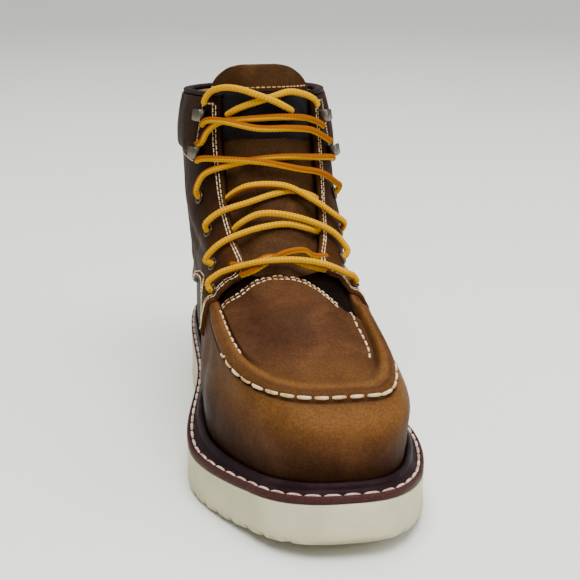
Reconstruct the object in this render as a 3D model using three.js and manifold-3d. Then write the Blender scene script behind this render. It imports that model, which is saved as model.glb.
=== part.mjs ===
// A right work boot on a wedge sole, with a raised moc seam round the toe and a laced shaft.
// Millimetres. +Z is up, the toe points along -Y and the big toe side along +X. The origin is on
// the floor under the middle of the sole.

import * as THREE from "three";
import { mergeVertices } from "three/addons/utils/BufferGeometryUtils.js";
import Module from "manifold-3d";

const wasm = await Module();
wasm.setup();

// Driving sizes
const LENGTH = 306;
const BALL_WIDTH = 115;
const COLLAR_HEIGHT = 149;
const SOLE_AT_TOE = 20.2;
const SOLE_AT_HEEL = 31.8;
const TOE_SPRING = 8.2;
const TREAD_DEPTH = 2.4;
const TREAD_PITCH = 11;
const TREAD_GROOVE = 3.2;
const TREAD_CHAMFER = 1.4;
const WELT_THICKNESS = 4;
const WELT_RIB_HEIGHT = 3.8;
const WELT_RIB_WIDTH = 4.6;
const WELT_UNDER_UPPER = 6;
const WALL = 2.4;
const OVERLAY = 1.9;
const GAP = 0.3;
const CLEAR = 0.45;
const MOC_RIDGE = 3.2;
const INSOLE_THICKNESS = 5;
const TONGUE_THICKNESS = 4.5;
const TONGUE_SWELL = 3;
const COLLAR_PAD = 4.4;
const PAD_CLEAR = 0.55;
const BINDING_HEIGHT = 2.6;
const LACE = 3.4;
const EYELET_OUTER = 7.4;
const EYELET_BORE = 4.2;
const EYELET_HEIGHT = 0.8;
const HOOK_WIDTH = 7;
const HOOK_REACH = 8;
const HOOK_METAL = 1.1;
const HOOK_LIFT = 5.8;

// Shares of the sole's length, from the heel, where its bottom leaves the floor and where its
// thickness starts and stops to change
const SPRING_FROM = 0.73;
const WEDGE_FROM = 0.15;
const WEDGE_TO = 0.7;

// Shares of an outline's own length at which the table below gives its half widths
const STATIONS = [0.14, 0.42, 0.72, 0.9];
const INSTEP = 0.6;

// Level curves of the boot's outside, from the sole up. Heights are shares of COLLAR_HEIGHT above
// the welt's top at the toe: at the front, over the instep and at the back. The ends are shares of
// LENGTH. tip and back say how far those ends sit off the centre line. The widths, at heel, waist,
// ball and toe, are shares of BALL_WIDTH, first on the big toe side and then on the outer side.
// square says how square the toe is on each side and the heel is. edge is where the quarter's
// front edge crosses the level, as a share of LENGTH.
const LEVELS = [
  { name: "feather", rise: [0, 0, 0], ends: [-0.459, 0.482], tip: 0.071, back: 0,
    inner: [0.361, 0.283, 0.44, 0.462], outer: [0.361, 0.348, 0.44, 0.396],
    square: [2.4, 2.8, 3], edge: -0.12 },
  { name: "low side", rise: [0.091, 0.07, 0.104], ends: [-0.467, 0.487], tip: 0.074, back: 0,
    inner: [0.365, 0.296, 0.45, 0.468], outer: [0.365, 0.364, 0.452, 0.405],
    square: [2.5, 2.8, 3], edge: -0.12 },
  { name: "high side", rise: [0.172, 0.198, 0.192], ends: [-0.457, 0.488], tip: 0.078, back: 0,
    inner: [0.352, 0.304, 0.4, 0.44], outer: [0.357, 0.376, 0.44, 0.413],
    square: [3, 2.8, 3], edge: -0.12 },
  { name: "seam outside", rise: [0.236, 0.36, 0.286], ends: [-0.415, 0.482], tip: 0.087, back: 0,
    inner: [0.343, 0.303, 0.3, 0.332], outer: [0.35, 0.375, 0.404, 0.443],
    square: [5, 3.1, 2.8], edge: -0.115 },
  { name: "seam inside", rise: [0.262, 0.39, 0.313], ends: [-0.389, 0.479], tip: 0.078, back: 0,
    inner: [0.34, 0.305, 0.246, 0.275], outer: [0.35, 0.376, 0.355, 0.378],
    square: [4.6, 3.1, 2.7], edge: -0.113 },
  { name: "plug front", rise: [0.319, 0.427, 0.373], ends: [-0.327, 0.474], tip: 0.035, back: 0,
    inner: [0.332, 0.306, 0.239, 0.222], outer: [0.348, 0.373, 0.351, 0.326],
    square: [2.4, 2.4, 2.6], edge: -0.111 },
  { name: "plug middle", rise: [0.397, 0.457, 0.434], ends: [-0.235, 0.469], tip: -0.009, back: -0.004,
    inner: [0.324, 0.304, 0.265, 0.226], outer: [0.348, 0.374, 0.367, 0.33],
    square: [2.2, 2.2, 2.5], edge: -0.108 },
  { name: "throat", rise: [0.464, 0.5, 0.501], ends: [-0.131, 0.462], tip: -0.057, back: -0.009,
    inner: [0.317, 0.304, 0.3, 0.304], outer: [0.347, 0.373, 0.387, 0.417],
    square: [2.2, 2.2, 2.4], edge: -0.105 },
  { name: "first bars", rise: [0.534, 0.568, 0.575], ends: [-0.069, 0.456], tip: -0.052, back: -0.013,
    inner: [0.313, 0.304, 0.304, 0.309], outer: [0.348, 0.378, 0.391, 0.409],
    square: [2.2, 2.2, 2.3], edge: -0.036 },
  { name: "middle bars", rise: [0.622, 0.648, 0.655], ends: [-0.01, 0.449], tip: -0.048, back: -0.017,
    inner: [0.309, 0.304, 0.304, 0.309], outer: [0.348, 0.378, 0.387, 0.4],
    square: [2.2, 2.2, 2.3], edge: 0.028 },
  { name: "ankle", rise: [0.722, 0.736, 0.736], ends: [0.033, 0.446], tip: -0.043, back: -0.017,
    inner: [0.309, 0.304, 0.304, 0.309], outer: [0.348, 0.378, 0.383, 0.391],
    square: [2.2, 2.2, 2.3], edge: 0.07 },
  { name: "hooks", rise: [0.843, 0.836, 0.823], ends: [0.061, 0.448], tip: -0.039, back: -0.017,
    inner: [0.3, 0.296, 0.297, 0.3], outer: [0.343, 0.374, 0.38, 0.387],
    square: [2.2, 2.2, 2.3], edge: 0.098 },
  { name: "collar", rise: [0.997, 0.97, 0.923], ends: [0.082, 0.454], tip: -0.035, back: -0.017,
    inner: [0.287, 0.283, 0.281, 0.283], outer: [0.335, 0.362, 0.364, 0.37],
    square: [2.2, 2.2, 2.3], edge: 0.119 },
  { name: "tongue top", rise: [1.118, 1.08, 1.024], ends: [0.095, 0.46], tip: -0.035, back: -0.017,
    inner: [0.283, 0.278, 0.276, 0.278], outer: [0.33, 0.357, 0.36, 0.365],
    square: [2.2, 2.2, 2.3], edge: 0.132 },
];
const level = (name) => LEVELS.findIndex((row) => row.name === name);
const SEAM_OUTSIDE = level("seam outside");
const SEAM_INSIDE = level("seam inside");
const THROAT = level("throat");
const COLLAR = level("collar");
const TONGUE_TOP = level("tongue top");

// The sole's own outline, in the same terms
const SOLE = { ends: [-0.5, 0.5], tip: 0.071, back: 0,
  inner: [0.4, 0.326, 0.513, 0.55], outer: [0.4, 0.396, 0.537, 0.452],
  square: [2.4, 2.8, 3] };

// The moc seam's roll fades out between these places, as shares of LENGTH
const RIDGE_FADES = [-0.175, -0.135];

// The quarter's lower edge: its height, in levels, at shares of the way from its front point to
// the middle of the heel
const WING_SHARES = [0, 0.08, 0.18, 0.3, 0.45, 0.65, 1];
const WING_LEVELS = [2.35, 2.85, 3.1, 2.85, 2.4, 2.1, 2];

// The collar pad's front seam, as a share of LENGTH, and its lower edge, in levels
const PAD_FRONT = 0.157;
const PAD_LOW = 10.3;

// The pad's thickness up its height, in shares of COLLAR_PAD
const PAD_SECTION = [
  { up: 0, thick: 0.45 }, { up: 0.09, thick: 0.86 }, { up: 0.35, thick: 1 },
  { up: 0.75, thick: 0.8 }, { up: 1, thick: 0.5 },
];

// The eyelets and the hooks above them, on the outer and the inner eyestay: their place round the
// boot, as a share of the level's half, and their height in levels
const EYELETS = [
  { outer: 0.37, outerLevel: 4.3, inner: 0.375, innerLevel: 3.5 },
  { outer: 0.27, outerLevel: 6.35, inner: 0.235, innerLevel: 6.62 },
  { outer: 0.238, outerLevel: 7.9, inner: 0.27, innerLevel: 7.6 },
  { outer: 0.292, outerLevel: 8.92, inner: 0.3, innerLevel: 8.9 },
];
const HOOKS = [
  { outer: 0.282, outerLevel: 10.53, inner: 0.28, innerLevel: 10.47 },
  { outer: 0.256, outerLevel: 11.54, inner: 0.224, innerLevel: 11.48 },
];

// The lace's strands: points of their centre lines as [place round the boot, height in levels,
// lift off the skin in lace thicknesses]. The outer side is negative.
const STRANDS = {
  lace_bar: [
    [[-0.345, 4.68, 1.9], [-0.275, 5.6, 1.75], [-0.182, 6.5, 1.6], [-0.05, 7.08, 1.5],
      [0.026, 7.1, 1.5], [0.092, 6.84, 1.55], [0.2, 5.95, 1.7], [0.3, 4.85, 1.75], [0.35, 3.95, 1.9]],
    [[-0.075, 7.22, 0.6], [-0.032, 7.5, 0.75], [0.016, 7.4, 0.75], [0.06, 7.06, 0.8]],
    [[0.078, 7.42, 0.6], [0.056, 7.56, 0.9], [0.012, 7.5, 1.2], [-0.04, 7.2, 1.1], [-0.07, 6.98, 0.9]],
  ],
  lace_lower_cross: [
    [[-0.25, 6.58, 1.75], [-0.168, 7.48, 1.65], [-0.074, 8.3, 1.1], [0.022, 8.56, 0.9], [0.07, 8.42, 0.8],
      [0.105, 8.28, 0.7]],
    [[0.222, 6.85, 1.75], [0.208, 7.12, 1.7], [0.156, 7.9, 1.6], [0.042, 8.66, 1.5], [-0.044, 8.8, 1.2],
      [-0.105, 8.52, 0.6]],
  ],
  lace_upper_cross: [
    [[-0.222, 8.1, 1.75], [-0.164, 8.66, 1.65], [-0.072, 9.2, 1.15], [0.004, 9.52, 0.9], [0.06, 9.58, 0.7],
      [0.125, 9.34, 0.5]],
    [[0.25, 7.85, 1.75], [0.186, 8.42, 1.65], [0.112, 9.12, 1.45], [0.032, 9.66, 1.4], [-0.072, 9.7, 1.1],
      [-0.13, 9.44, 0.5]],
  ],
  lace_ankle_cross: [
    [[-0.276, 9.1, 1.75], [-0.23, 9.84, 1.7], [-0.128, 10.34, 1.3], [-0.04, 10.56, 1], [0.036, 10.6, 1],
      [0.15, 10.46, 1.5], [0.236, 10.3, 1.75]],
    [[-0.24, 10.38, 1.75], [-0.128, 10.48, 1.6], [-0.022, 10.42, 1.5], [0.07, 10.2, 1.4],
      [0.162, 9.92, 1.6], [0.245, 9.4, 1.7], [0.284, 9.08, 1.75]],
  ],
  lace_hook_cross: [
    [[-0.24, 10.78, 1.6], [-0.218, 11.16, 1.4], [-0.17, 11.42, 1.4], [-0.106, 11.5, 1.15],
      [0.036, 11.56, 1.4], [0.12, 11.5, 1.45], [0.178, 11.42, 1.5]],
    [[-0.222, 11.5, 1.6], [-0.144, 11.46, 1.7], [-0.04, 11.32, 1.3], [0.06, 11.3, 1.1], [0.13, 11.26, 1.3],
      [0.19, 11.08, 1.4], [0.236, 10.76, 1.6]],
  ],
};
const LACE_ENDS = {
  lace_end_outer: [[-0.228, 11.78, 1.75], [-0.216, 11.98, 1.75], [-0.19, 12.16, 1.75], [-0.14, 12.26, 1.75],
    [-0.09, 12.22, 1.75], [-0.042, 12.08, 1.75], [0.01, 11.92, 1.5], [0.042, 11.81, 1.05],
    [0.065, 11.735, 0.68], [0.084, 11.655, 0.5]],
  lace_end_inner: [[0.172, 11.7, 1.75], [0.16, 11.86, 1.75], [0.138, 11.98, 1.55], [0.1, 12.1, 1.1],
    [0.064, 12.14, 0.75], [0.02, 12.06, 0.6], [-0.03, 11.94, 0.6], [-0.08, 11.83, 0.6],
    [-0.12, 11.71, 0.57], [-0.154, 11.575, 0.54]],
};

// Steps along each half of an outline
const SAMPLES = 240;

// A smooth run through given values at given places
function smooth(places, values, at) {
  const last = places.length - 1;
  const x = Math.min(Math.max(at, places[0]), places[last]);
  let k = 0;
  while (k < last - 1 && x > places[k + 1]) k += 1;
  const slope = (i) => {
    const a = Math.max(i - 1, 0);
    const b = Math.min(i + 1, last);
    return (values[b] - values[a]) / (places[b] - places[a]);
  };
  const span = places[k + 1] - places[k];
  const f = (x - places[k]) / span;
  const ease = f * f * (3 - 2 * f);
  return values[k] + (values[k + 1] - values[k]) * ease
    + span * f * (1 - f) * (slope(k) * (1 - f) - slope(k + 1) * f);
}

function step(from, to, at) {
  const f = Math.min(Math.max((at - from) / (to - from), 0), 1);
  return f * f * (3 - 2 * f);
}

// The sole's bottom and top heights at a place along it
function soleBottom(y) {
  const share = 0.5 - y / LENGTH;
  const f = Math.max((share - SPRING_FROM) / (1 - SPRING_FROM), 0);
  return TOE_SPRING * f * f;
}

function soleTop(y) {
  const share = 0.5 - y / LENGTH;
  const f = Math.min(Math.max((WEDGE_TO - share) / (WEDGE_TO - WEDGE_FROM), 0), 1);
  return soleBottom(y) + SOLE_AT_TOE + (SOLE_AT_HEEL - SOLE_AT_TOE) * f;
}

const weltTop = (y) => soleTop(y) + WELT_THICKNESS;
const WELT_AT_TOE = SOLE_AT_TOE + TOE_SPRING + WELT_THICKNESS;

// One point of an outline: its place across, at a share of the length from the back
function across(row, share, side) {
  const t = 2 * share - 1;
  const widths = side > 0 ? row.inner : row.outer;
  const square = t < 0 ? row.square[2] : row.square[side > 0 ? 0 : 1];
  const middle = (t < 0 ? row.back : row.tip) * t * t;
  const round = (1 - Math.abs(t) ** square) ** (1 / square);
  const edge = side * smooth(STATIONS, widths, share);
  return BALL_WIDTH * (middle + (edge - middle) * round);
}

// Half of an outline from its front to its back, walked in even steps along the curve
function halfOutline(row, side) {
  const [front, back] = row.ends;
  const places = [];
  let run = 0;
  for (let k = 0; k <= SAMPLES; k += 1) {
    const share = (1 + Math.cos((Math.PI * k) / SAMPLES)) / 2;
    const place = { x: across(row, share, side), y: LENGTH * (back + (front - back) * share), share };
    if (k > 0) run += Math.hypot(place.x - places[k - 1].x, place.y - places[k - 1].y);
    places.push({ ...place, run });
  }
  return places;
}

function walk(places, u) {
  const run = Math.min(Math.abs(u), 1) * places[SAMPLES].run;
  let low = 0;
  let high = SAMPLES;
  while (high - low > 1) {
    const middle = (low + high) >> 1;
    if (places[middle].run > run) high = middle;
    else low = middle;
  }
  const f = (run - places[low].run) / (places[high].run - places[low].run);
  const mix = (key) => places[low][key] + (places[high][key] - places[low][key]) * f;
  return { x: mix("x"), y: mix("y"), share: mix("share") };
}

const halves = new Map();
function outlinePoint(row, u) {
  if (!halves.has(row)) halves.set(row, [halfOutline(row, -1), halfOutline(row, 1)]);
  return walk(halves.get(row)[u < 0 ? 0 : 1], u);
}

// A point of a level curve; u runs from 0 at the front to 1 or -1 at the back
function levelPoint(index, u) {
  const row = LEVELS[index];
  const { x, y, share } = outlinePoint(row, u);
  const rise = WELT_AT_TOE + COLLAR_HEIGHT * smooth([0, INSTEP, 1], [...row.rise].reverse(), share);
  return [x, y, index === 0 ? weltTop(y) + GAP : rise];
}

// A share of the way between neighbouring levels, on a smooth run through four of them
function blend(v, at) {
  const last = LEVELS.length - 1;
  const k = Math.min(Math.max(Math.floor(v), 0), last - 1);
  const f = v - k;
  const before = at(Math.max(k - 1, 0));
  const from = at(k);
  const to = at(k + 1);
  const after = at(Math.min(k + 2, last));
  return from.map((value, i) => {
    const leave = (to[i] - before[i]) / 2;
    const arrive = (after[i] - value) / 2;
    const ease = f * f * (3 - 2 * f);
    return value + (to[i] - value) * ease + f * (1 - f) * (leave * (1 - f) - arrive * f);
  });
}

const skinPoint = (u, v) => new THREE.Vector3(...blend(v, (k) => levelPoint(k, u)));
const wrap = (u) => (u > 1 ? u - 2 : u < -1 ? u + 2 : u);

// Small steps round the boot and up it, to read the skin's slope
const STEP_ROUND = 0.004;
const STEP_UP = 0.04;

function skinNormal(u, v) {
  const along = skinPoint(wrap(u + STEP_ROUND), v).sub(skinPoint(wrap(u - STEP_ROUND), v));
  const top = Math.min(v + STEP_UP, TONGUE_TOP);
  const up = skinPoint(u, top).sub(skinPoint(u, Math.max(v - STEP_UP, 0)));
  return along.cross(up).normalize();
}

// The moc seam's roll stands out of the skin between its two seam levels
function ridge(u, v, y) {
  if (v <= SEAM_OUTSIDE || v >= SEAM_INSIDE) return 0;
  const f = (v - SEAM_OUTSIDE) / (SEAM_INSIDE - SEAM_OUTSIDE);
  const fade = 1 - step(LENGTH * RIDGE_FADES[0], LENGTH * RIDGE_FADES[1], y);
  return MOC_RIDGE * fade * Math.sqrt(Math.sin(Math.PI * f));
}

// A place on the boot: a point of the skin, moved out along its normal
function place(u, v, out = 0, onRidge = true) {
  const point = skinPoint(u, v);
  const raise = out + (onRidge ? ridge(u, v, point.y) : 0);
  return point.addScaledVector(skinNormal(u, v), raise);
}

// Where a level curve reaches a given place along the boot, as u on one side
const crossings = new Map();
function crossing(key, index, y, side) {
  const name = `${key} ${index} ${side}`;
  if (!crossings.has(name)) {
    let low = 0;
    let high = 1;
    for (let k = 0; k < 30; k += 1) {
      const middle = (low + high) / 2;
      if (levelPoint(index, side * middle)[1] < y) low = middle;
      else high = middle;
    }
    crossings.set(name, low);
  }
  return crossings.get(name);
}

// The quarter's front edge, as u at a height in levels
const frontEdge = (v, side) => blend(v, (k) => [crossing("edge", k, LENGTH * LEVELS[k].edge, side)])[0];
const throatEdge = (v, side) => frontEdge(Math.max(v, THROAT), side);

// Solids

function closedGeometry(points, triangles) {
  const geometry = new THREE.BufferGeometry();
  geometry.setAttribute("position", new THREE.Float32BufferAttribute(points.flat(), 3));
  geometry.setIndex(triangles.flat());
  return geometry;
}

function toSolid(geometry) {
  const plain = geometry.clone();
  plain.deleteAttribute("normal");
  plain.deleteAttribute("uv");
  const merged = mergeVertices(plain, 1e-4);
  return new wasm.Manifold(new wasm.Mesh({
    numProp: 3,
    vertProperties: new Float32Array(merged.attributes.position.array),
    triVerts: new Uint32Array(merged.index.array),
  }));
}

function fromSolid(solid) {
  const { vertProperties, triVerts } = solid.getMesh();
  const geometry = new THREE.BufferGeometry();
  geometry.setAttribute("position", new THREE.Float32BufferAttribute(vertProperties, 3));
  geometry.setIndex(new THREE.Uint32BufferAttribute(triVerts, 1));
  return geometry;
}

// A thick sheet over a grid of cells. at(i, j, face) gives the outside (1) and the inside (0);
// has(i, j) says which cells are there. round joins the last column to the first.
function sheet(columns, rows, at, { has = () => true, round = false } = {}) {
  const across = round ? columns : columns + 1;
  const points = [];
  for (let face = 0; face < 2; face += 1) {
    for (let j = 0; j <= rows; j += 1) {
      for (let i = 0; i < across; i += 1) points.push(at(i, j, face).toArray());
    }
  }
  const id = (i, j, face) => (face * (rows + 1) + j) * across + (round ? i % columns : i);
  const present = (i, j) => {
    if (j < 0 || j >= rows) return false;
    if (round) return has((i + columns) % columns, j);
    return i >= 0 && i < columns && has(i, j);
  };
  const triangles = [];
  const quad = (a, b, c, d) => triangles.push([a, b, c], [a, c, d]);
  for (let j = 0; j < rows; j += 1) {
    for (let i = 0; i < columns; i += 1) {
      if (!present(i, j)) continue;
      const corner = (di, dj, face) => id(i + di, j + dj, face);
      quad(corner(0, 0, 1), corner(1, 0, 1), corner(1, 1, 1), corner(0, 1, 1));
      quad(corner(0, 0, 0), corner(0, 1, 0), corner(1, 1, 0), corner(1, 0, 0));
      const wall = (a, b) => quad(corner(...a, 0), corner(...b, 0), corner(...b, 1), corner(...a, 1));
      if (!present(i, j - 1)) wall([0, 0], [1, 0]);
      if (!present(i + 1, j)) wall([1, 0], [1, 1]);
      if (!present(i, j + 1)) wall([1, 1], [0, 1]);
      if (!present(i - 1, j)) wall([0, 1], [0, 0]);
    }
  }
  return closedGeometry(points, triangles);
}

// A ring or a strip: the same outline of corners, carried from station to station
function carried(stations, corners, round) {
  const count = stations.length;
  const size = corners(stations[0]).length;
  const points = stations.flatMap((s) => corners(s).map((p) => p.toArray()));
  const triangles = [];
  const spans = round ? count : count - 1;
  for (let s = 0; s < spans; s += 1) {
    const next = (s + 1) % count;
    for (let c = 0; c < size; c += 1) {
      const d = (c + 1) % size;
      triangles.push([s * size + c, next * size + c, next * size + d]);
      triangles.push([s * size + c, next * size + d, s * size + d]);
    }
  }
  if (!round) {
    const outline = corners(stations[0]);
    const faces = fan(outline.length);
    faces.forEach(([a, b, c]) => {
      triangles.push([a, b, c]);
      triangles.push([(count - 1) * size + a, (count - 1) * size + c, (count - 1) * size + b]);
    });
  }
  return closedGeometry(points, triangles);
}

const fan = (size) => Array.from({ length: size - 2 }, (_, k) => [0, k + 1, k + 2]);

// Columns round the boot: from the front to the eyestay's edge, and from there to the back

const FRONT_COLUMNS = 4;
const REAR_COLUMNS = 18;
const HALF = FRONT_COLUMNS + REAR_COLUMNS;
const ROUND = 2 * HALF;
const REAR_SPREAD = { places: [0, 0.34, 0.6, 1], shares: [0, 0.27, 0.69, 1] };
const columnOf = (i) => (((i % ROUND) + ROUND) % ROUND) - HALF;

function columnAt(i, v) {
  const k = columnOf(i);
  const side = k < 0 ? -1 : 1;
  const edge = throatEdge(v, side);
  const n = Math.abs(k);
  if (n <= FRONT_COLUMNS) return side * edge * (n / FRONT_COLUMNS);
  const w = (n - FRONT_COLUMNS) / REAR_COLUMNS;
  return side * (edge + (1 - edge) * smooth(REAR_SPREAD.places, REAR_SPREAD.shares, w));
}

const inThroat = (i) => Math.abs(i + 0.5 - HALF) < FRONT_COLUMNS;

// An outline's point, moved inward across the floor
function inside(row, u, inset) {
  const ahead = outlinePoint(row, wrap(u + STEP_ROUND));
  const behind = outlinePoint(row, wrap(u - STEP_ROUND));
  const inward = new THREE.Vector2(behind.y - ahead.y, ahead.x - behind.x).normalize();
  const { x, y } = outlinePoint(row, u);
  return new THREE.Vector2(x, y).addScaledVector(inward, inset);
}

// A stack of outlines with the same stations, the last one on top, closed by ruled faces
function stack(outlines) {
  const n = outlines[0].length;
  const points = outlines.flatMap((outline) => outline.map((p) => p.toArray()));
  const triangles = [];
  for (let r = 0; r < outlines.length - 1; r += 1) {
    for (let s = 0; s < n; s += 1) {
      const t = (s + 1) % n;
      triangles.push([r * n + s, r * n + t, (r + 1) * n + t], [r * n + s, (r + 1) * n + t, (r + 1) * n + s]);
    }
  }
  const top = (outlines.length - 1) * n;
  for (let s = 0; s < n / 2; s += 1) {
    const [a, b, c, d] = [s, s + 1, (n - s - 1) % n, (n - s) % n];
    if (b !== c) triangles.push([top + a, top + b, top + c], [a, c, b]);
    if (a !== d) triangles.push([top + a, top + c, top + d], [a, d, c]);
  }
  return closedGeometry(points, triangles);
}

const stations = Array.from({ length: ROUND }, (_, i) => columnAt(i, 0));

// Outsole

const TREAD_REACH = 0.44;
const GROOVE_WIDTH = 1.4;
const soleEdge = (u, inset) => inside(SOLE, u, inset);

function makeOutsole() {
  const rows = [
    { inset: TREAD_CHAMFER, high: soleBottom },
    { inset: 0, high: (y) => soleBottom(y) + TREAD_CHAMFER },
    { inset: 0, high: (y) => soleTop(y) - TREAD_CHAMFER / 2 },
    { inset: TREAD_CHAMFER / 2, high: soleTop },
  ];
  const outlines = rows.map(({ inset, high }) => stations.map((u) => {
    const p = soleEdge(u, inset);
    return new THREE.Vector3(p.x, p.y, high(p.y));
  }));
  return fromSolid(grooves().reduce((solid, groove) => solid.subtract(groove), toSolid(stack(outlines))));
}

// Cross grooves of the tread, which nick the sole's lower edge. They reach over TREAD_REACH of
// LENGTH each way and are GROOVE_WIDTH times as wide as the ball.
function grooves() {
  const count = 2 * Math.floor((TREAD_REACH * LENGTH) / TREAD_PITCH) + 1;
  return Array.from({ length: count }, (_, k) => {
    const y = (k - (count - 1) / 2) * TREAD_PITCH;
    const box = new THREE.BoxGeometry(GROOVE_WIDTH * BALL_WIDTH, TREAD_GROOVE, 2 * TREAD_DEPTH);
    box.translate(0, y, soleBottom(y));
    return toSolid(box);
  });
}

// Welt: a flat ledge flush with the sole's edge, and a rib that hugs the upper

const WELT_EDGE = 1;
const RIB_SHOULDER = { out: 0.85, up: 0.7 };

function weltCorners(u) {
  const at = (point, high) => new THREE.Vector3(point.x, point.y, high(point.y));
  const onSole = (inset, drop) => at(soleEdge(u, inset), (y) => weltTop(y) - drop);
  const foot = skinPoint(u, 0);
  const normal = skinNormal(u, 0).setZ(0).normalize();
  const climb = WELT_RIB_HEIGHT / (levelPoint(1, u)[2] - levelPoint(0, u)[2]);
  const beside = (v, out, rise) => {
    const p = skinPoint(u, v).addScaledVector(normal, out);
    return at(p, (y) => weltTop(y) + rise);
  };
  const under = at(foot.clone().addScaledVector(normal, -WELT_UNDER_UPPER), weltTop);
  const low = (p) => at(p, (y) => soleTop(y) + GAP);
  return [
    low(soleEdge(u, 0)), onSole(0, WELT_EDGE), onSole(WELT_EDGE, 0), beside(0, WELT_RIB_WIDTH, 0),
    beside(0, WELT_RIB_WIDTH * RIB_SHOULDER.out, WELT_RIB_HEIGHT * RIB_SHOULDER.up),
    beside(climb, GAP * 2, WELT_RIB_HEIGHT),
    beside(0, GAP * 1.5, 0), under, low(under),
  ];
}

const makeWelt = () => carried(stations, weltCorners, true);

// Insole: closes the upper underneath and lies over the welt's inner edge

function makeInsole() {
  const outline = (inset, high) => stations.map((u) => {
    const p = inside(LEVELS[0], u, inset);
    return new THREE.Vector3(p.x, p.y, high(p.y));
  });
  const over = (y) => weltTop(y) + GAP;
  return stack([
    outline(WELT_UNDER_UPPER + GAP, (y) => soleTop(y) + GAP),
    outline(WELT_UNDER_UPPER + GAP, over),
    outline(WALL + GAP * 2, over),
    outline(WALL + GAP * 2, (y) => over(y) + INSOLE_THICKNESS / 2),
  ]);
}

// Upper: one shell over the whole last, open at the throat, the collar and underneath

const UPPER_ROWS = [0, 1, 2, 2.5, 3, 3.14, 3.5, 3.86, 4, 4.7, 5.7, 7, 8, 9.2, 10.3, 11.1, 12];

// The upper's own grid, from one depth to another
function upperSheet(rows, inner, outer, has) {
  return sheet(ROUND, rows.length - 1, (i, j, face) => {
    const v = rows[j];
    const p = place(columnAt(i, v), v, face ? outer : inner, face === 1 || inner > 0);
    if (v === 0) p.z = weltTop(p.y) + GAP;
    return p;
  }, { has, round: true });
}

const throatOpen = (i, j) => !(inThroat(i) && UPPER_ROWS[j] >= THROAT);
const makeUpper = () => pierced(toSolid(upperSheet(UPPER_ROWS, -WALL, 0, throatOpen)));

// Quarter: the layer over the back of the vamp and the shaft

const LAYER_ROWS = UPPER_ROWS.filter((v) => v >= 2 && v !== 3.86);
const QUARTER_COLUMNS = 32;
const QUARTER_ROWS = 4;
const QUARTER_ROOM = 4 * OVERLAY;
const QUARTER_SPREAD = { places: [0, 0.3, 0.7, 1], shares: [0, 0.2, 0.62, 1] };
const EYESTAY_OVERHANG = 0.6;
const PAST_COLLAR = 1.02;

const perimeters = (index, side) => {
  outlinePoint(LEVELS[index], 0);
  return halves.get(LEVELS[index])[side < 0 ? 0 : 1][SAMPLES].run;
};
const perimeter = (v, side) => blend(v, (k) => [perimeters(k, side)])[0];

// The quarter's place at shares of the way from its front edge to the back and from its lower
// edge to the collar
function quarterAt(side, a, b) {
  const low = smooth(WING_SHARES, WING_LEVELS, a);
  const v = low + (COLLAR - low) * b;
  const edge = frontEdge(v, side) - EYESTAY_OVERHANG / perimeter(v, side);
  return [side * (edge + (1 - edge) * a), v];
}

// The space that the quarter fills, between its edges
function quarterSpace() {
  return sheet(QUARTER_COLUMNS, QUARTER_ROWS, (i, j, face) => {
    const w = (2 * i) / QUARTER_COLUMNS - 1;
    const a = smooth(QUARTER_SPREAD.places, QUARTER_SPREAD.shares, 1 - Math.abs(w));
    const [u, v] = quarterAt(w < 0 ? 1 : -1, a, (PAST_COLLAR * j) / QUARTER_ROWS);
    return place(u, v, face ? QUARTER_ROOM : -WALL, false);
  });
}

function makeQuarter() {
  const layer = toSolid(upperSheet(LAYER_ROWS, GAP, GAP + OVERLAY, () => true));
  const shaped = layer.intersect(toSolid(quarterSpace())).subtract(toSolid(collarRoom()));
  const seats = sides(EYELETS, (k, side, u, v) => toSolid(ringRoom(side, u, v)));
  return pierced(seats.reduce((rest, seat) => rest.subtract(seat), shaped));
}

// Collar: a padded panel round the back of the shaft, let into the quarter's top

const COLLAR_COLUMNS = 18;
const PAD_END = { thin: 0.5, sharp: 12 };
const PAD_ROOM = 1.1;
const padEdge = (v, side) => blend(v, (k) => [crossing("pad", k, LENGTH * PAD_FRONT, side)])[0];

// A place on the panel, at shares across it and up it, with the panel grown all round
function panelAt(w, up, grow) {
  const side = w < 0 ? 1 : -1;
  const low = PAD_LOW - grow / (levelPoint(COLLAR, side)[2] - levelPoint(COLLAR - 1, side)[2]);
  const v = low + (COLLAR - low) * up;
  const edge = padEdge(v, side) - grow / perimeter(v, side);
  return [side * (1 - (1 - edge) * Math.abs(w)), v];
}
const acrossPanel = (i) => (2 * i) / COLLAR_COLUMNS - 1;

function makeCollar() {
  return sheet(COLLAR_COLUMNS, PAD_SECTION.length - 1, (i, j, face) => {
    const w = acrossPanel(i);
    const { up, thick } = PAD_SECTION[j];
    const full = 1 - PAD_END.thin * Math.abs(w) ** PAD_END.sharp;
    return place(...panelAt(w, up, 0), GAP + PAD_CLEAR + (face ? COLLAR_PAD * thick * full : 0), false);
  });
}

// The room that the quarter leaves for the panel
const collarRoom = () => sheet(COLLAR_COLUMNS, PAD_SECTION.length - 1, (i, j, face) => {
  const [u, v] = panelAt(acrossPanel(i), PAD_ROOM * PAD_SECTION[j].up, CLEAR);
  return place(u, v, face ? 2 * COLLAR_PAD : -WALL, false);
});

// Binding: a dark strip along the top of the upper, its layers and the collar

const BINDING_STATIONS = 26;
const BINDING_SHOULDER = 0.6;

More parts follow.
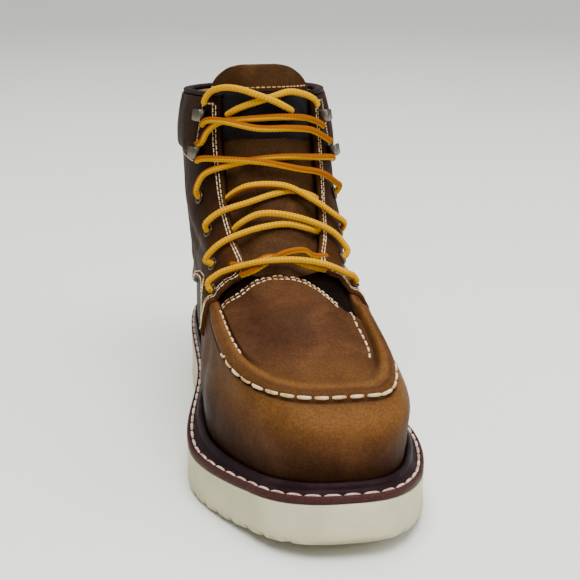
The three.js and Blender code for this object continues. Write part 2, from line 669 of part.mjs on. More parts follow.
function makeBinding() {
  const ends = [1, -1].map((side) => frontEdge(COLLAR, side));
  const around = Array.from({ length: BINDING_STATIONS + 1 }, (_, k) => {
    const u = ends[0] + (2 - ends[0] - ends[1]) * (k / BINDING_STATIONS);
    return u > 1 ? u - 2 : u;
  });
  const outside = GAP + OVERLAY;
  const shoulder = CLEAR + BINDING_SHOULDER * BINDING_HEIGHT;
  return fromSolid(toSolid(carried(around, (u) => [
    [outside, CLEAR], [outside, shoulder], [-WALL / 4, CLEAR + BINDING_HEIGHT], [-WALL, shoulder],
    [-WALL, CLEAR],
  ].map(([out, rise]) => {
    const p = place(u, COLLAR, out, false);
    return p.setZ(p.z + rise);
  }), false)));
}

// Eyelets and hooks, on the eyestays

const sides = (rows, make) => rows.flatMap((row, k) => [
  make(k, -1, -row.outer, row.outerLevel),
  make(k, 1, row.inner, row.innerLevel),
]);

// A frame on the quarter's face: x away from the throat, y out of the leather
function seatAt(side, u, v, out) {
  const normal = skinNormal(u, v);
  const ahead = side * STEP_ROUND;
  const back = skinPoint(u + ahead, v).sub(skinPoint(u - ahead, v)).normalize();
  const along = back.clone().cross(normal).normalize();
  const seat = new THREE.Matrix4().makeBasis(normal.clone().cross(along), normal, along);
  return seat.setPosition(place(u, v, out, false));
}

const FACE = CLEAR + OVERLAY;
const EYELET_TOP = 0.8;
const HOLE_DEPTH = 6 * WALL;
const EYELET_CORNERS = 8;
const HOLE_CORNERS = 6;

function makeEyelet(side, u, v) {
  const top = [EYELET_OUTER * EYELET_TOP, EYELET_HEIGHT];
  const outline = [[EYELET_BORE, 0], [EYELET_OUTER, 0], top, [EYELET_BORE, 0]];
  const profile = outline.map(([wide, high]) => new THREE.Vector2(wide / 2, high));
  return new THREE.LatheGeometry(profile, EYELET_CORNERS).applyMatrix4(seatAt(side, u, v, FACE + GAP));
}

// Where the leather is pressed down under an eyelet
function ringRoom(side, u, v) {
  const wide = (EYELET_OUTER / 2 + GAP) / Math.cos(Math.PI / HOLE_CORNERS);
  const room = new THREE.CylinderGeometry(wide, wide, QUARTER_ROOM, HOLE_CORNERS);
  return room.applyMatrix4(seatAt(side, u, v, FACE + QUARTER_ROOM / 2));
}

// Straight holes under the eyelets, through a layer of leather
function pierced(solid) {
  const holes = sides(EYELETS, (k, side, u, v) => {
    const hole = new THREE.CylinderGeometry(EYELET_BORE / 2, EYELET_BORE / 2, HOLE_DEPTH, HOLE_CORNERS);
    return toSolid(hole.applyMatrix4(seatAt(side, u, v, 0)));
  });
  return fromSolid(holes.reduce((rest, hole) => rest.subtract(hole), solid));
}

const HOOK_LIP = 0.8;

function makeHook(side, u, v) {
  const tip = HOOK_LIFT + HOOK_METAL / 3;
  const lip = HOOK_REACH * HOOK_LIP;
  const foot = [[0, 0], [HOOK_REACH, 0], [HOOK_REACH, HOOK_METAL], [HOOK_METAL, HOOK_METAL]];
  const bend = [[HOOK_METAL, HOOK_LIFT - HOOK_METAL], [lip, tip - HOOK_METAL], [lip, tip], [0, HOOK_LIFT]];
  const outline = [...foot, ...bend].map(([x, y]) => new THREE.Vector2(x - HOOK_REACH / 2, y));
  const hook = new THREE.ExtrudeGeometry(new THREE.Shape(outline), { depth: HOOK_WIDTH, bevelEnabled: false });
  return hook.translate(0, 0, -HOOK_WIDTH / 2).applyMatrix4(seatAt(side, u, v, FACE));
}

// Laces, in facets of so many lace thicknesses

const STRAND_CORNERS = 6;
const END_CORNERS = 8;
const FACET_LENGTH = 2.8;

function strand(points, corners) {
  const line = new THREE.CatmullRomCurve3(points.map(([u, v, lift]) => place(u, v, lift * LACE, false)));
  const round = Array.from({ length: corners }, (_, k) => (2 * Math.PI * (k + 0.5)) / corners);
  const ring = round.map((a) => new THREE.Vector2(Math.cos(a), Math.sin(a)).multiplyScalar(LACE / 2));
  const section = new THREE.Shape(ring);
  const steps = Math.round(line.getLength() / (FACET_LENGTH * LACE));
  return new THREE.ExtrudeGeometry(section, { steps, bevelEnabled: false, extrudePath: line });
}

const joined = (strands) => fromSolid(strands
  .map((points) => toSolid(strand(points, STRAND_CORNERS))).reduce((all, one) => all.add(one)));

// Tongue: runs from under the plug, between the eyestays, to above the collar

const TONGUE_COLUMNS = 10;
const TONGUE_ROWS = [6.5, 7.2, 8.2, 9.2, 10.2, 11.2, 12, 12.5, 12.85, 13];
const TONGUE_WIDTHS = {
  levels: [6.5, 8, 11, 12, 12.5, 12.85, 13], shares: [1.3, 1.5, 1.5, 1.2, 0.95, 0.74, 0.5],
};
const TONGUE_LEAN = { levels: [9, 12, 13], shares: [0, -0.03, -0.034] };

// The tongue swells out between the eyestays, from one level up to another, and flattens towards
// their edges, in shares of the throat's half width
const SWELLS = { from: 7.2, to: 8.6, flattens: 0.35, flat: 0.95 };

function makeTongue() {
  return sheet(TONGUE_COLUMNS, TONGUE_ROWS.length - 1, (i, j, face) => {
    const v = TONGUE_ROWS[j];
    const w = (2 * i) / TONGUE_COLUMNS - 1;
    const side = w < 0 ? -1 : 1;
    const wide = smooth(TONGUE_WIDTHS.levels, TONGUE_WIDTHS.shares, v);
    const across = 1 - step(SWELLS.flattens, SWELLS.flat, Math.abs(w) * wide);
    const swell = TONGUE_SWELL * step(SWELLS.from, SWELLS.to, v) * across;
    const out = swell - WALL - 2 * GAP - (face ? 0 : TONGUE_THICKNESS);
    const lean = v < TONGUE_LEAN.levels[0] ? 0 : smooth(TONGUE_LEAN.levels, TONGUE_LEAN.shares, v);
    return place(w * wide * throatEdge(v, side) + lean, v, out, false);
  });
}

const BODY = new THREE.Group();
const centre = () => {
  const xs = stations.map((u) => outlinePoint(SOLE, u).x);
  return (Math.min(...xs) + Math.max(...xs)) / 2;
};
BODY.position.x = -centre();

function piece(name, geometry, color, roughness, metalness = 0) {
  const mesh = new THREE.Mesh(geometry, new THREE.MeshStandardMaterial({ color, roughness, metalness }));
  mesh.name = name;
  BODY.add(mesh);
}

piece("outsole", makeOutsole(), 0xcac6ae, 0.85);
piece("welt", makeWelt(), 0x2d1e22, 0.6);
piece("insole", makeInsole(), 0x8a6a48, 0.9);
piece("upper", makeUpper(), 0x6e4623, 0.55);
piece("quarter", makeQuarter(), 0x4a3220, 0.55);
piece("tongue", makeTongue(), 0x4a3020, 0.7);
piece("collar", makeCollar(), 0x2c1d16, 0.6);
piece("collar_binding", makeBinding(), 0x1d1513, 0.6);
const sideName = (side) => (side < 0 ? "outer" : "inner");
sides(EYELETS, (k, side, u, v) => {
  piece(`eyelet_${sideName(side)}_${k + 1}`, makeEyelet(side, u, v), 0x3b2f28, 0.4, 1);
});
sides(HOOKS, (k, side, u, v) => {
  piece(`hook_${sideName(side)}_${k + 1}`, makeHook(side, u, v), 0xc8c8c4, 0.3, 1);
});
Object.entries(STRANDS).forEach(([name, strands]) => piece(name, joined(strands), 0xd99a24, 0.7));
Object.entries(LACE_ENDS).forEach(([name, points]) => {
  piece(name, strand(points, END_CORNERS), 0xe8b422, 0.7);
});

export default BODY;
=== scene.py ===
# A right work boot on a wedge sole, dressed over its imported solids. Metres, +Z up, toe along -Y.
import math
from collections import namedtuple

import bpy
import numpy as np
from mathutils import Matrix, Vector
from mathutils.bvhtree import BVHTree


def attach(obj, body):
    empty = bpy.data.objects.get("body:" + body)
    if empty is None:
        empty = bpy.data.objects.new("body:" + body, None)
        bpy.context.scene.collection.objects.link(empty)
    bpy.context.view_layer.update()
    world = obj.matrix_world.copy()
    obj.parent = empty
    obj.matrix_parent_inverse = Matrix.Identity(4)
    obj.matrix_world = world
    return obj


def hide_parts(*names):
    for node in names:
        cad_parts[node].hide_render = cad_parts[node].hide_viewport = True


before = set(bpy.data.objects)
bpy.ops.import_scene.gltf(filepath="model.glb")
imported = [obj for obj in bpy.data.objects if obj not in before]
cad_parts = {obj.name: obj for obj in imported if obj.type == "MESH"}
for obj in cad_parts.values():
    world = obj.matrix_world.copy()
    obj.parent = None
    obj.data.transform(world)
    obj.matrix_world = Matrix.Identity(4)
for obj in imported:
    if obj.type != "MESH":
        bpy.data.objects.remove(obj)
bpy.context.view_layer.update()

MM = 0.001

# The boot's driving sizes in millimetres, as its solids have them
LENGTH = 306
BALL_WIDTH = 115
COLLAR_HEIGHT = 149
SOLE_AT_TOE = 20.2
SOLE_AT_HEEL = 31.8
TOE_SPRING = 8.2
TREAD_DEPTH = 2.4
TREAD_PITCH = 11
TREAD_GROOVE = 3.2
WELT_THICKNESS = 4
WELT_RIB_HEIGHT = 3.8
WELT_RIB_WIDTH = 4.6
WELT_UNDER_UPPER = 6
WALL = 2.4
OVERLAY = 1.9
GAP = 0.3
MOC_RIDGE = 3.2
TONGUE_THICKNESS = 4.5
TONGUE_SWELL = 3
COLLAR_PAD = 4.4
BINDING_HEIGHT = 2.6
LACE = 3.4
SPRING_FROM = 0.73
WEDGE_FROM = 0.15
WEDGE_TO = 0.7
STATIONS = [0.14, 0.42, 0.72, 0.9]
INSTEP = 0.6
RIDGE_FADES = [-0.175, -0.135]
WING_SHARES = [0, 0.08, 0.18, 0.3, 0.45, 0.65, 1]
WING_LEVELS = [2.35, 2.85, 3.1, 2.85, 2.4, 2.1, 2]
PAD_FRONT = 0.157
PAD_LOW = 10.3

# Level curves of the boot's outside, from the sole up. Heights are shares of COLLAR_HEIGHT, ends
# and edge of LENGTH, and the other columns of BALL_WIDTH. Widths run from heel to toe.
Level = namedtuple("Level", "name rise ends tip back inner outer square edge")
LEVELS = [
    Level("feather", [0, 0, 0], [-0.459, 0.482], 0.071, 0,
          [0.361, 0.283, 0.44, 0.462], [0.361, 0.348, 0.44, 0.396], [2.4, 2.8, 3], -0.12),
    Level("low side", [0.091, 0.07, 0.104], [-0.467, 0.487], 0.074, 0,
          [0.365, 0.296, 0.45, 0.468], [0.365, 0.364, 0.452, 0.405], [2.5, 2.8, 3], -0.12),
    Level("high side", [0.172, 0.198, 0.192], [-0.457, 0.488], 0.078, 0,
          [0.352, 0.304, 0.4, 0.44], [0.357, 0.376, 0.44, 0.413], [3, 2.8, 3], -0.12),
    Level("seam outside", [0.236, 0.36, 0.286], [-0.415, 0.482], 0.087, 0,
          [0.343, 0.303, 0.3, 0.332], [0.35, 0.375, 0.404, 0.443], [5, 3.1, 2.8], -0.115),
    Level("seam inside", [0.262, 0.39, 0.313], [-0.389, 0.479], 0.078, 0,
          [0.34, 0.305, 0.246, 0.275], [0.35, 0.376, 0.355, 0.378], [4.6, 3.1, 2.7], -0.113),
    Level("plug front", [0.319, 0.427, 0.373], [-0.327, 0.474], 0.035, 0,
          [0.332, 0.306, 0.239, 0.222], [0.348, 0.373, 0.351, 0.326], [2.4, 2.4, 2.6], -0.111),
    Level("plug middle", [0.397, 0.457, 0.434], [-0.235, 0.469], -0.009, -0.004,
          [0.324, 0.304, 0.265, 0.226], [0.348, 0.374, 0.367, 0.33], [2.2, 2.2, 2.5], -0.108),
    Level("throat", [0.464, 0.5, 0.501], [-0.131, 0.462], -0.057, -0.009,
          [0.317, 0.304, 0.3, 0.304], [0.347, 0.373, 0.387, 0.417], [2.2, 2.2, 2.4], -0.105),
    Level("first bars", [0.534, 0.568, 0.575], [-0.069, 0.456], -0.052, -0.013,
          [0.313, 0.304, 0.304, 0.309], [0.348, 0.378, 0.391, 0.409], [2.2, 2.2, 2.3], -0.036),
    Level("middle bars", [0.622, 0.648, 0.655], [-0.01, 0.449], -0.048, -0.017,
          [0.309, 0.304, 0.304, 0.309], [0.348, 0.378, 0.387, 0.4], [2.2, 2.2, 2.3], 0.028),
    Level("ankle", [0.722, 0.736, 0.736], [0.033, 0.446], -0.043, -0.017,
          [0.309, 0.304, 0.304, 0.309], [0.348, 0.378, 0.383, 0.391], [2.2, 2.2, 2.3], 0.07),
    Level("hooks", [0.843, 0.836, 0.823], [0.061, 0.448], -0.039, -0.017,
          [0.3, 0.296, 0.297, 0.3], [0.343, 0.374, 0.38, 0.387], [2.2, 2.2, 2.3], 0.098),
    Level("collar", [0.997, 0.97, 0.923], [0.082, 0.454], -0.035, -0.017,
          [0.287, 0.283, 0.281, 0.283], [0.335, 0.362, 0.364, 0.37], [2.2, 2.2, 2.3], 0.119),
    Level("tongue top", [1.118, 1.08, 1.024], [0.095, 0.46], -0.035, -0.017,
          [0.283, 0.278, 0.276, 0.278], [0.33, 0.357, 0.36, 0.365], [2.2, 2.2, 2.3], 0.132),
]
SEAM_OUTSIDE, SEAM_INSIDE, THROAT, COLLAR, TONGUE_TOP = 3, 4, 7, 12, 13
SOLE = Level("sole", [0, 0, 0], [-0.5, 0.5], 0.071, 0,
             [0.4, 0.326, 0.513, 0.55], [0.4, 0.396, 0.537, 0.452], [2.4, 2.8, 3], 0)
SAMPLES = 240

# Eyelets and hooks on the outer (-1) and inner (1) eyestay: place round the boot, height in levels
EYELETS = [(-1, 0.37, 4.3), (1, 0.375, 3.5), (-1, 0.27, 6.35), (1, 0.235, 6.62),
           (-1, 0.238, 7.9), (1, 0.27, 7.6), (-1, 0.292, 8.92), (1, 0.3, 8.9)]
HOOKS = [(-1, 0.282, 10.53), (1, 0.28, 10.47), (-1, 0.256, 11.54), (1, 0.224, 11.48)]

# The lace's two ends, as [place round the boot, height in levels, lift in lace thicknesses]
LACE_ENDS = {
    "lace_end_outer": [
        [-0.228, 11.78, 1.75], [-0.216, 11.98, 1.75], [-0.19, 12.16, 1.75], [-0.14, 12.26, 1.75],
        [-0.09, 12.22, 1.75], [-0.042, 12.08, 1.75], [0.01, 11.92, 1.5], [0.042, 11.81, 1.05],
        [0.065, 11.735, 0.68], [0.084, 11.655, 0.5]],
    "lace_end_inner": [
        [0.172, 11.7, 1.75], [0.16, 11.86, 1.75], [0.138, 11.98, 1.55], [0.1, 12.1, 1.1],
        [0.064, 12.14, 0.75], [0.02, 12.06, 0.6], [-0.03, 11.94, 0.6], [-0.08, 11.83, 0.6],
        [-0.12, 11.71, 0.57], [-0.154, 11.575, 0.54]],
}


# Curves and surface of the boot

def smooth(places, values, at):
    """A smooth run through given values at given places."""
    places, values = np.asarray(places, float), np.asarray(values, float)
    last = len(places) - 1
    x = np.clip(at, places[0], places[-1])
    k = np.clip(np.searchsorted(places, x) - 1, 0, last - 1)
    low, high = np.maximum(np.arange(last + 1) - 1, 0), np.minimum(np.arange(last + 1) + 1, last)
    slopes = (values[high] - values[low]) / (places[high] - places[low])
    span = places[k + 1] - places[k]
    f = (x - places[k]) / span
    ease = f * f * (3 - 2 * f)
    bend = span * f * (1 - f) * (slopes[k] * (1 - f) - slopes[k + 1] * f)
    return values[k] + (values[k + 1] - values[k]) * ease + bend


def step(start, end, at):
    f = np.clip((at - start) / (end - start), 0, 1)
    return f * f * (3 - 2 * f)


def bell(at, centre, width):
    return np.exp(-(((at - centre) / width) ** 2))


def sole_bottom(y):
    f = np.maximum((0.5 - y / LENGTH - SPRING_FROM) / (1 - SPRING_FROM), 0)
    return TOE_SPRING * f * f


def sole_top(y):
    f = np.clip((WEDGE_TO - (0.5 - y / LENGTH)) / (WEDGE_TO - WEDGE_FROM), 0, 1)
    return sole_bottom(y) + SOLE_AT_TOE + (SOLE_AT_HEEL - SOLE_AT_TOE) * f


def welt_top(y):
    return sole_top(y) + WELT_THICKNESS


WELT_AT_TOE = SOLE_AT_TOE + TOE_SPRING + WELT_THICKNESS


def half_outline(row, side):
    """Half of an outline from its front to its back: run, x, y and share of its length."""
    share = (1 + np.cos(np.pi * np.arange(SAMPLES + 1) / SAMPLES)) / 2
    t = 2 * share - 1
    square = np.where(t < 0, row.square[2], row.square[0 if side > 0 else 1])
    middle = np.where(t < 0, row.back, row.tip) * t * t
    rounding = (1 - np.abs(t) ** square) ** (1 / square)
    edge = side * smooth(STATIONS, row.inner if side > 0 else row.outer, share)
    x = BALL_WIDTH * (middle + (edge - middle) * rounding)
    front, back = row.ends
    y = LENGTH * (back + (front - back) * share)
    run = np.r_[0, np.cumsum(np.hypot(np.diff(x), np.diff(y)))]
    return run, x, y, share


HALVES = [[half_outline(row, side) for side in (-1, 1)] for row in LEVELS]
SOLE_HALVES = [half_outline(SOLE, side) for side in (-1, 1)]
SHIFT = -(min(SOLE_HALVES[0][1]) + max(SOLE_HALVES[1][1])) / 2


def outline_point(halves, u):
    """x, y and share at u, which runs from 0 at the front to 1 or -1 at the back."""
    picked = []
    for run, x, y, share in halves:
        at = np.minimum(np.abs(u), 1) * run[-1]
        picked.append([np.interp(at, run, value) for value in (x, y, share)])
    return [np.where(u < 0, outer, inner) for outer, inner in zip(*picked)]


def level_point(k, u):
    x, y, share = outline_point(HALVES[k], u)
    rise = smooth([0, INSTEP, 1], LEVELS[k].rise[::-1], share)
    z = welt_top(y) + GAP if k == 0 else WELT_AT_TOE + COLLAR_HEIGHT * rise
    return np.stack([x, y, z], -1)


def blend(v, table):
    """A smooth run up the levels; table holds a row of values for each level."""
    last = len(LEVELS) - 1
    k = np.clip(np.floor(v).astype(int), 0, last - 1)
    f = (v - k)[:, None]
    n = np.arange(len(v))
    before, start, end, after = (table[np.clip(k + d, 0, last), n] for d in (-1, 0, 1, 2))
    ease = f * f * (3 - 2 * f)
    bend = f * (1 - f) * ((end - before) / 2 * (1 - f) - (after - start) / 2 * f)
    return start + (end - start) * ease + bend


def skin(u, v):
    """Points of the boot's skin, in millimetres."""
    u, v = np.broadcast_arrays(np.asarray(u, float), np.asarray(v, float))
    flat = blend(v.ravel(), np.stack([level_point(k, u.ravel()) for k in range(len(LEVELS))]))
    return (flat + [SHIFT, 0, 0]).reshape(u.shape + (3,))


def wrap(u):
    return (np.asarray(u) + 1) % 2 - 1


def unit(a):
    return a / np.linalg.norm(a, axis=-1, keepdims=True)


NEAR_U, NEAR_V = 0.004, 0.04


def skin_normal(u, v):
    along = skin(wrap(u + NEAR_U), v) - skin(wrap(u - NEAR_U), v)
    up = skin(u, np.minimum(v + NEAR_V, TONGUE_TOP)) - skin(u, np.maximum(v - NEAR_V, 0))
    return unit(np.cross(along, up))


def lifted(u, v, out):
    u, v = np.broadcast_arrays(np.asarray(u, float), np.asarray(v, float))
    return skin(u, v) + skin_normal(u, v) * np.asarray(out, float)[..., None]


def table_of(value):
    """A table for blend from value(level, side), read for each side of the boot."""
    return {side: np.array([value(k, side) for k in range(len(LEVELS))]) for side in (-1, 1)}


def u_at(k, side, y):
    """Where a level reaches a place along the boot, as a share of its half."""
    run, _, along, _ = HALVES[k][0 if side < 0 else 1]
    return np.interp(y, along, run / run[-1])


EDGE = table_of(lambda k, side: u_at(k, side, LENGTH * LEVELS[k].edge))
PAD_SEAM = table_of(lambda k, side: u_at(k, side, LENGTH * PAD_FRONT))
HALF_RUN = table_of(lambda k, side: HALVES[k][0 if side < 0 else 1][0][-1])


def up_levels(table, v, side):
    """A table's values at heights in levels, on the outer (-1) or the inner (1) side."""
    v, side = np.broadcast_arrays(np.asarray(v, float), side)
    flat = v.ravel()
    both = [blend(flat, np.repeat(table[s][:, None, None], flat.size, 1))[:, 0] for s in (-1, 1)]
    return np.where(side < 0, *[each.reshape(v.shape) for each in both])


def front_edge(v, side):
    return up_levels(EDGE, v, side)


def throat_edge(v, side):
    return front_edge(np.maximum(v, THROAT), side)


def round_stations(count):
    return 2 * np.arange(count) / count - 1


TOE_MIDDLE = -0.03
TOE_CORNERS = [0.05, 0.16]
RIDGE_SPREAD = 0.32
RIDGE_TUCK = 0.9
RIDGE_CUT = 0.7
RIDGE_FRONT = 0.92


def toe_side(u):
    """0 across the front of the toe, 1 along its sides."""
    return step(*TOE_CORNERS, np.abs(u - TOE_MIDDLE))


def ridge(u, v, y):
    """The moc seam's roll: steep and tucked at the sides, a crest with a soft inside at the front."""
    fade = 1 - step(LENGTH * RIDGE_FADES[0], LENGTH * RIDGE_FADES[1], y)
    sides = toe_side(u)
    wide = SEAM_INSIDE + RIDGE_SPREAD * (1 - sides) - SEAM_OUTSIDE
    f = np.clip((v - SEAM_OUTSIDE) / wide, 0, 1)
    full = np.sqrt(np.maximum(np.sin(np.pi * f), 0))
    soft = np.sin(np.pi * f ** 0.8) ** 0.8
    roll = MOC_RIDGE * (full * sides + RIDGE_FRONT * np.minimum(soft, full) * (1 - sides))
    deep = RIDGE_TUCK * (0.25 + 0.75 * sides)
    tuck = deep * bell(v, SEAM_OUTSIDE + wide + 0.05, 0.06 + 0.06 * (1 - sides))
    return fade * (roll - RIDGE_CUT * bell(v, SEAM_OUTSIDE - 0.04, 0.05) - tuck)


# Meshes

def new_object(name, points, faces, material, replaced=None, slot=None):
    """A smooth mesh from points in millimetres. It may stand for a solid, which it hides; slot is not used.
    """
    mesh = bpy.data.meshes.new(name)
    mesh.from_pydata((np.asarray(points).reshape(-1, 3) * MM).tolist(), [], [list(face) for face in faces])
    mesh.validate()
    mesh.shade_smooth()
    obj = bpy.data.objects.new(name, mesh)
    bpy.context.scene.collection.objects.link(obj)
    for each in material if isinstance(material, (list, tuple)) else [material]:
        mesh.materials.append(each)
    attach(obj, "root")
    if replaced:
        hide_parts(replaced)
    return obj


def set_values(obj, name, values):
    made = obj.data.attributes.new(name, "FLOAT", "POINT")
    made.data.foreach_set("value", np.asarray(values, float).ravel())


def numbers(rows, columns):
    return np.arange(rows * columns).reshape(rows, columns)


def quads(ids, around=True, along=False, flip=False):
    """Faces of a grid of point numbers, closed around its rows, along its columns, or both."""
    if around:
        ids = np.concatenate([ids, ids[:, :1]], 1)
    if along:
        ids = np.concatenate([ids, ids[:1]], 0)
    made = np.stack([ids[:-1, :-1], ids[:-1, 1:], ids[1:, 1:], ids[1:, :-1]], -1).reshape(-1, 4)
    return (made[:, [0, 3, 2, 1]] if flip else made).tolist()


def shell_faces(rows, columns, closed=False, keep=None):
    """Quads of a closed skin: an outer grid, an inner grid and the walls between their rims."""
    spans = columns if closed else columns - 1
    keep = np.ones((rows - 1, spans), bool) if keep is None else keep
    outer = numbers(rows, columns)
    inner = outer + rows * columns
    padded = np.zeros((rows + 1, spans + 2), bool)
    padded[1:-1, 1:-1] = keep
    if closed:
        padded[:, 0], padded[:, -1] = padded[:, -2], padded[:, 1]
    i, j = np.nonzero(keep)
    k = (j + 1) % columns
    faces = [np.stack([outer[i, j], outer[i, k], outer[i + 1, k], outer[i + 1, j]], 1),
             np.stack([inner[i, j], inner[i + 1, j], inner[i + 1, k], inner[i, k]], 1)]
    sides = [(padded[i, j + 1], (i, j), (i, k)), (padded[i + 1, j + 2], (i, k), (i + 1, k)),
             (padded[i + 2, j + 1], (i + 1, k), (i + 1, j)), (padded[i + 1, j], (i + 1, j), (i, j))]
    for beside, a, b in sides:
        a, b = ((end[0][~beside], end[1][~beside]) for end in (a, b))
        faces.append(np.stack([inner[a], inner[b], outer[b], outer[a]], 1))
    return np.concatenate(faces), len(i)


def shell(name, outer, inner, material, replaced, slot, closed=False, keep=None, third=None):
    """A piece of sheet with an outer and an inner face. A second material is for the inner face, and
    a third one for the outer cells that third marks."""
    faces, count = shell_faces(*outer.shape[:2], closed, keep)
    points = np.concatenate([outer.reshape(-1, 3), inner.reshape(-1, 3)])
    obj = new_object(name, points, faces, material, replaced, slot)
    if isinstance(material, (list, tuple)):
        index = np.zeros(len(faces), int)
        index[count:2 * count] = 1
        if third is not None:
            index[:count][third.ravel()] = 2
        obj.data.polygons.foreach_set("material_index", index)
    return obj


def run_of(points):
    """How far along a line each of its points is."""
    return np.r_[0, np.cumsum(np.linalg.norm(np.diff(points, axis=0), axis=1))]


def resampled(points, pitch):
    """Points spaced evenly along a line."""
    points = np.asarray(points, float)
    run = run_of(points)
    at = np.linspace(0, run[-1], max(int(round(run[-1] / pitch)) + 1, 2))
    return np.stack([np.interp(at, run, points[:, k]) for k in range(points.shape[1])], 1)


def curve_through(points, steps):
    """A centripetal smooth curve through points, as the solids' laces have it."""
    points = np.asarray(points, float)
    ends = [2 * points[0] - points[1], *points, 2 * points[-1] - points[-2]]
    made = []
    for a, b, c, d in zip(ends[:-3], ends[1:-2], ends[2:-1], ends[3:]):
        pairs = ((a, b), (b, c), (c, d))
        t = np.cumsum([0] + [max(np.linalg.norm(q - p), 1e-4) ** 0.5 for p, q in pairs])
        at = np.linspace(t[1], t[2], steps, endpoint=False)[:, None]
        mix = lambda p, q, i, j: ((t[j] - at) * p + (at - t[i]) * q) / (t[j] - t[i])
        ab, bc, cd = mix(a, b, 0, 1), mix(b, c, 1, 2), mix(c, d, 2, 3)
        made.append(mix(mix(ab, bc, 0, 2), mix(bc, cd, 1, 3), 1, 2))
    return np.concatenate(made + [points[-1:]])


def frames_along(points, up):
    """Two normals along a line, carried from its middle, where one faces up."""
    tangent = unit(np.gradient(points, axis=0))
    count = len(points)
    first = np.zeros_like(points)
    middle = count // 2
    first[middle] = unit(up - tangent[middle] * np.dot(up, tangent[middle]))
    order = [(k, k - 1) for k in range(middle + 1, count)]
    order += [(k, k + 1) for k in range(middle - 1, -1, -1)]
    for k, before in order:
        first[k] = unit(first[before] - tangent[k] * np.dot(first[before], tangent[k]))
    return first, np.cross(tangent, first)


Tube = namedtuple("Tube", "points faces run around")


def tube(line, radius, up, sides):
    """A round tube with rounded ends, and where along and round it each point is."""
    first, second = frames_along(line, np.asarray(up, float))
    run = run_of(line)
    caps = np.minimum(np.minimum(run, run[-1] - run) / radius, 1)
    wide = radius * np.sqrt(np.maximum(1 - (1 - caps) ** 2, 0.02))
    angle = 2 * np.pi * np.arange(sides) / sides
    turned = np.cos(angle)[:, None] * first[:, None] + np.sin(angle)[:, None] * second[:, None]
    points = line[:, None] + wide[:, None, None] * turned
    ids = numbers(len(line), sides)
    faces = quads(ids) + [ids[0, ::-1].tolist(), ids[-1].tolist()]
    return Tube(points.reshape(-1, 3), faces, np.repeat(run, sides), np.tile(angle, len(line)))


def joined(parts):
    """Several pairs of points and faces as one."""
    points, faces, start = [], [], 0
    for each, its_faces in parts:
        points.append(each)
        faces += [[start + k for k in face] for face in its_faces]
        start += len(each)
    return np.concatenate(points), faces


def surface_of(obj):
    return BVHTree.FromObject(obj, bpy.context.evaluated_depsgraph_get())


def snapped(tree, points):
    """Nearest places on a surface, and its normals there, in millimetres."""
    hits = [tree.find_nearest(Vector(p) * MM) for p in np.asarray(points).tolist()]
    return np.array([np.array(h[0]) / MM for h in hits]), np.array([np.array(h[1]) for h in hits])


# Rings of a stitch, in half lengths along it and half thicknesses across and out
STITCH_RINGS = [(-1, 0.35, -0.9), (-0.9, 0.72, -0.35), (-0.55, 0.95, 0.25), (0, 1, 0.42),
                (0.55, 0.95, 0.25), (0.9, 0.72, -0.35), (1, 0.35, -0.9)]
STITCH_FLAT = 0.75
STITCH_CORNERS = 7

# A row of stitches: the pitch between them, their length and their thickness, in millimetres
Sewing = namedtuple("Sewing", "pitch length thick")


def stitch(centre, direction, normal, sewing):
    """One stitch: a soft arch of thread whose ends dive into the leather."""
    side = np.cross(normal, direction)
    half = sewing.thick / 2
    angle = 2 * np.pi * np.arange(STITCH_CORNERS) / STITCH_CORNERS
    rings = []
    for along, wide, rise in STITCH_RINGS:
        middle = centre + direction * along * sewing.length / 2 + normal * rise * half
        rings.append(middle + np.cos(angle)[:, None] * side * wide * half
                     + np.sin(angle)[:, None] * normal * STITCH_FLAT * wide * half)
    ids = numbers(len(rings), STITCH_CORNERS)
    return np.concatenate(rings), quads(ids, flip=True) + [ids[0].tolist(), ids[-1, ::-1].tolist()]


def stitch_line(tree, line, sewing):
    """Stitches along a line, laid on a surface, or flat where no surface is given."""
    spots = resampled(line, sewing.pitch / 2)
    if tree:
        spots, normals = snapped(tree, spots)
    else:
        normals = np.broadcast_to([0.0, 0.0, 1.0], spots.shape)
    ways = unit(spots[2:] - spots[:-2])
    return [stitch(spots[k], ways[k - 1], normals[k], sewing) for k in range(1, len(spots) - 1, 2)]


# Materials

# Texture scales per metre, from soft clouds in the leather to its finest grain
CLOUD, PATCH, BLOTCH, CREASE, PORE, SPECK, FINE = 34, 45, 70, 120, 620, 900, 1500


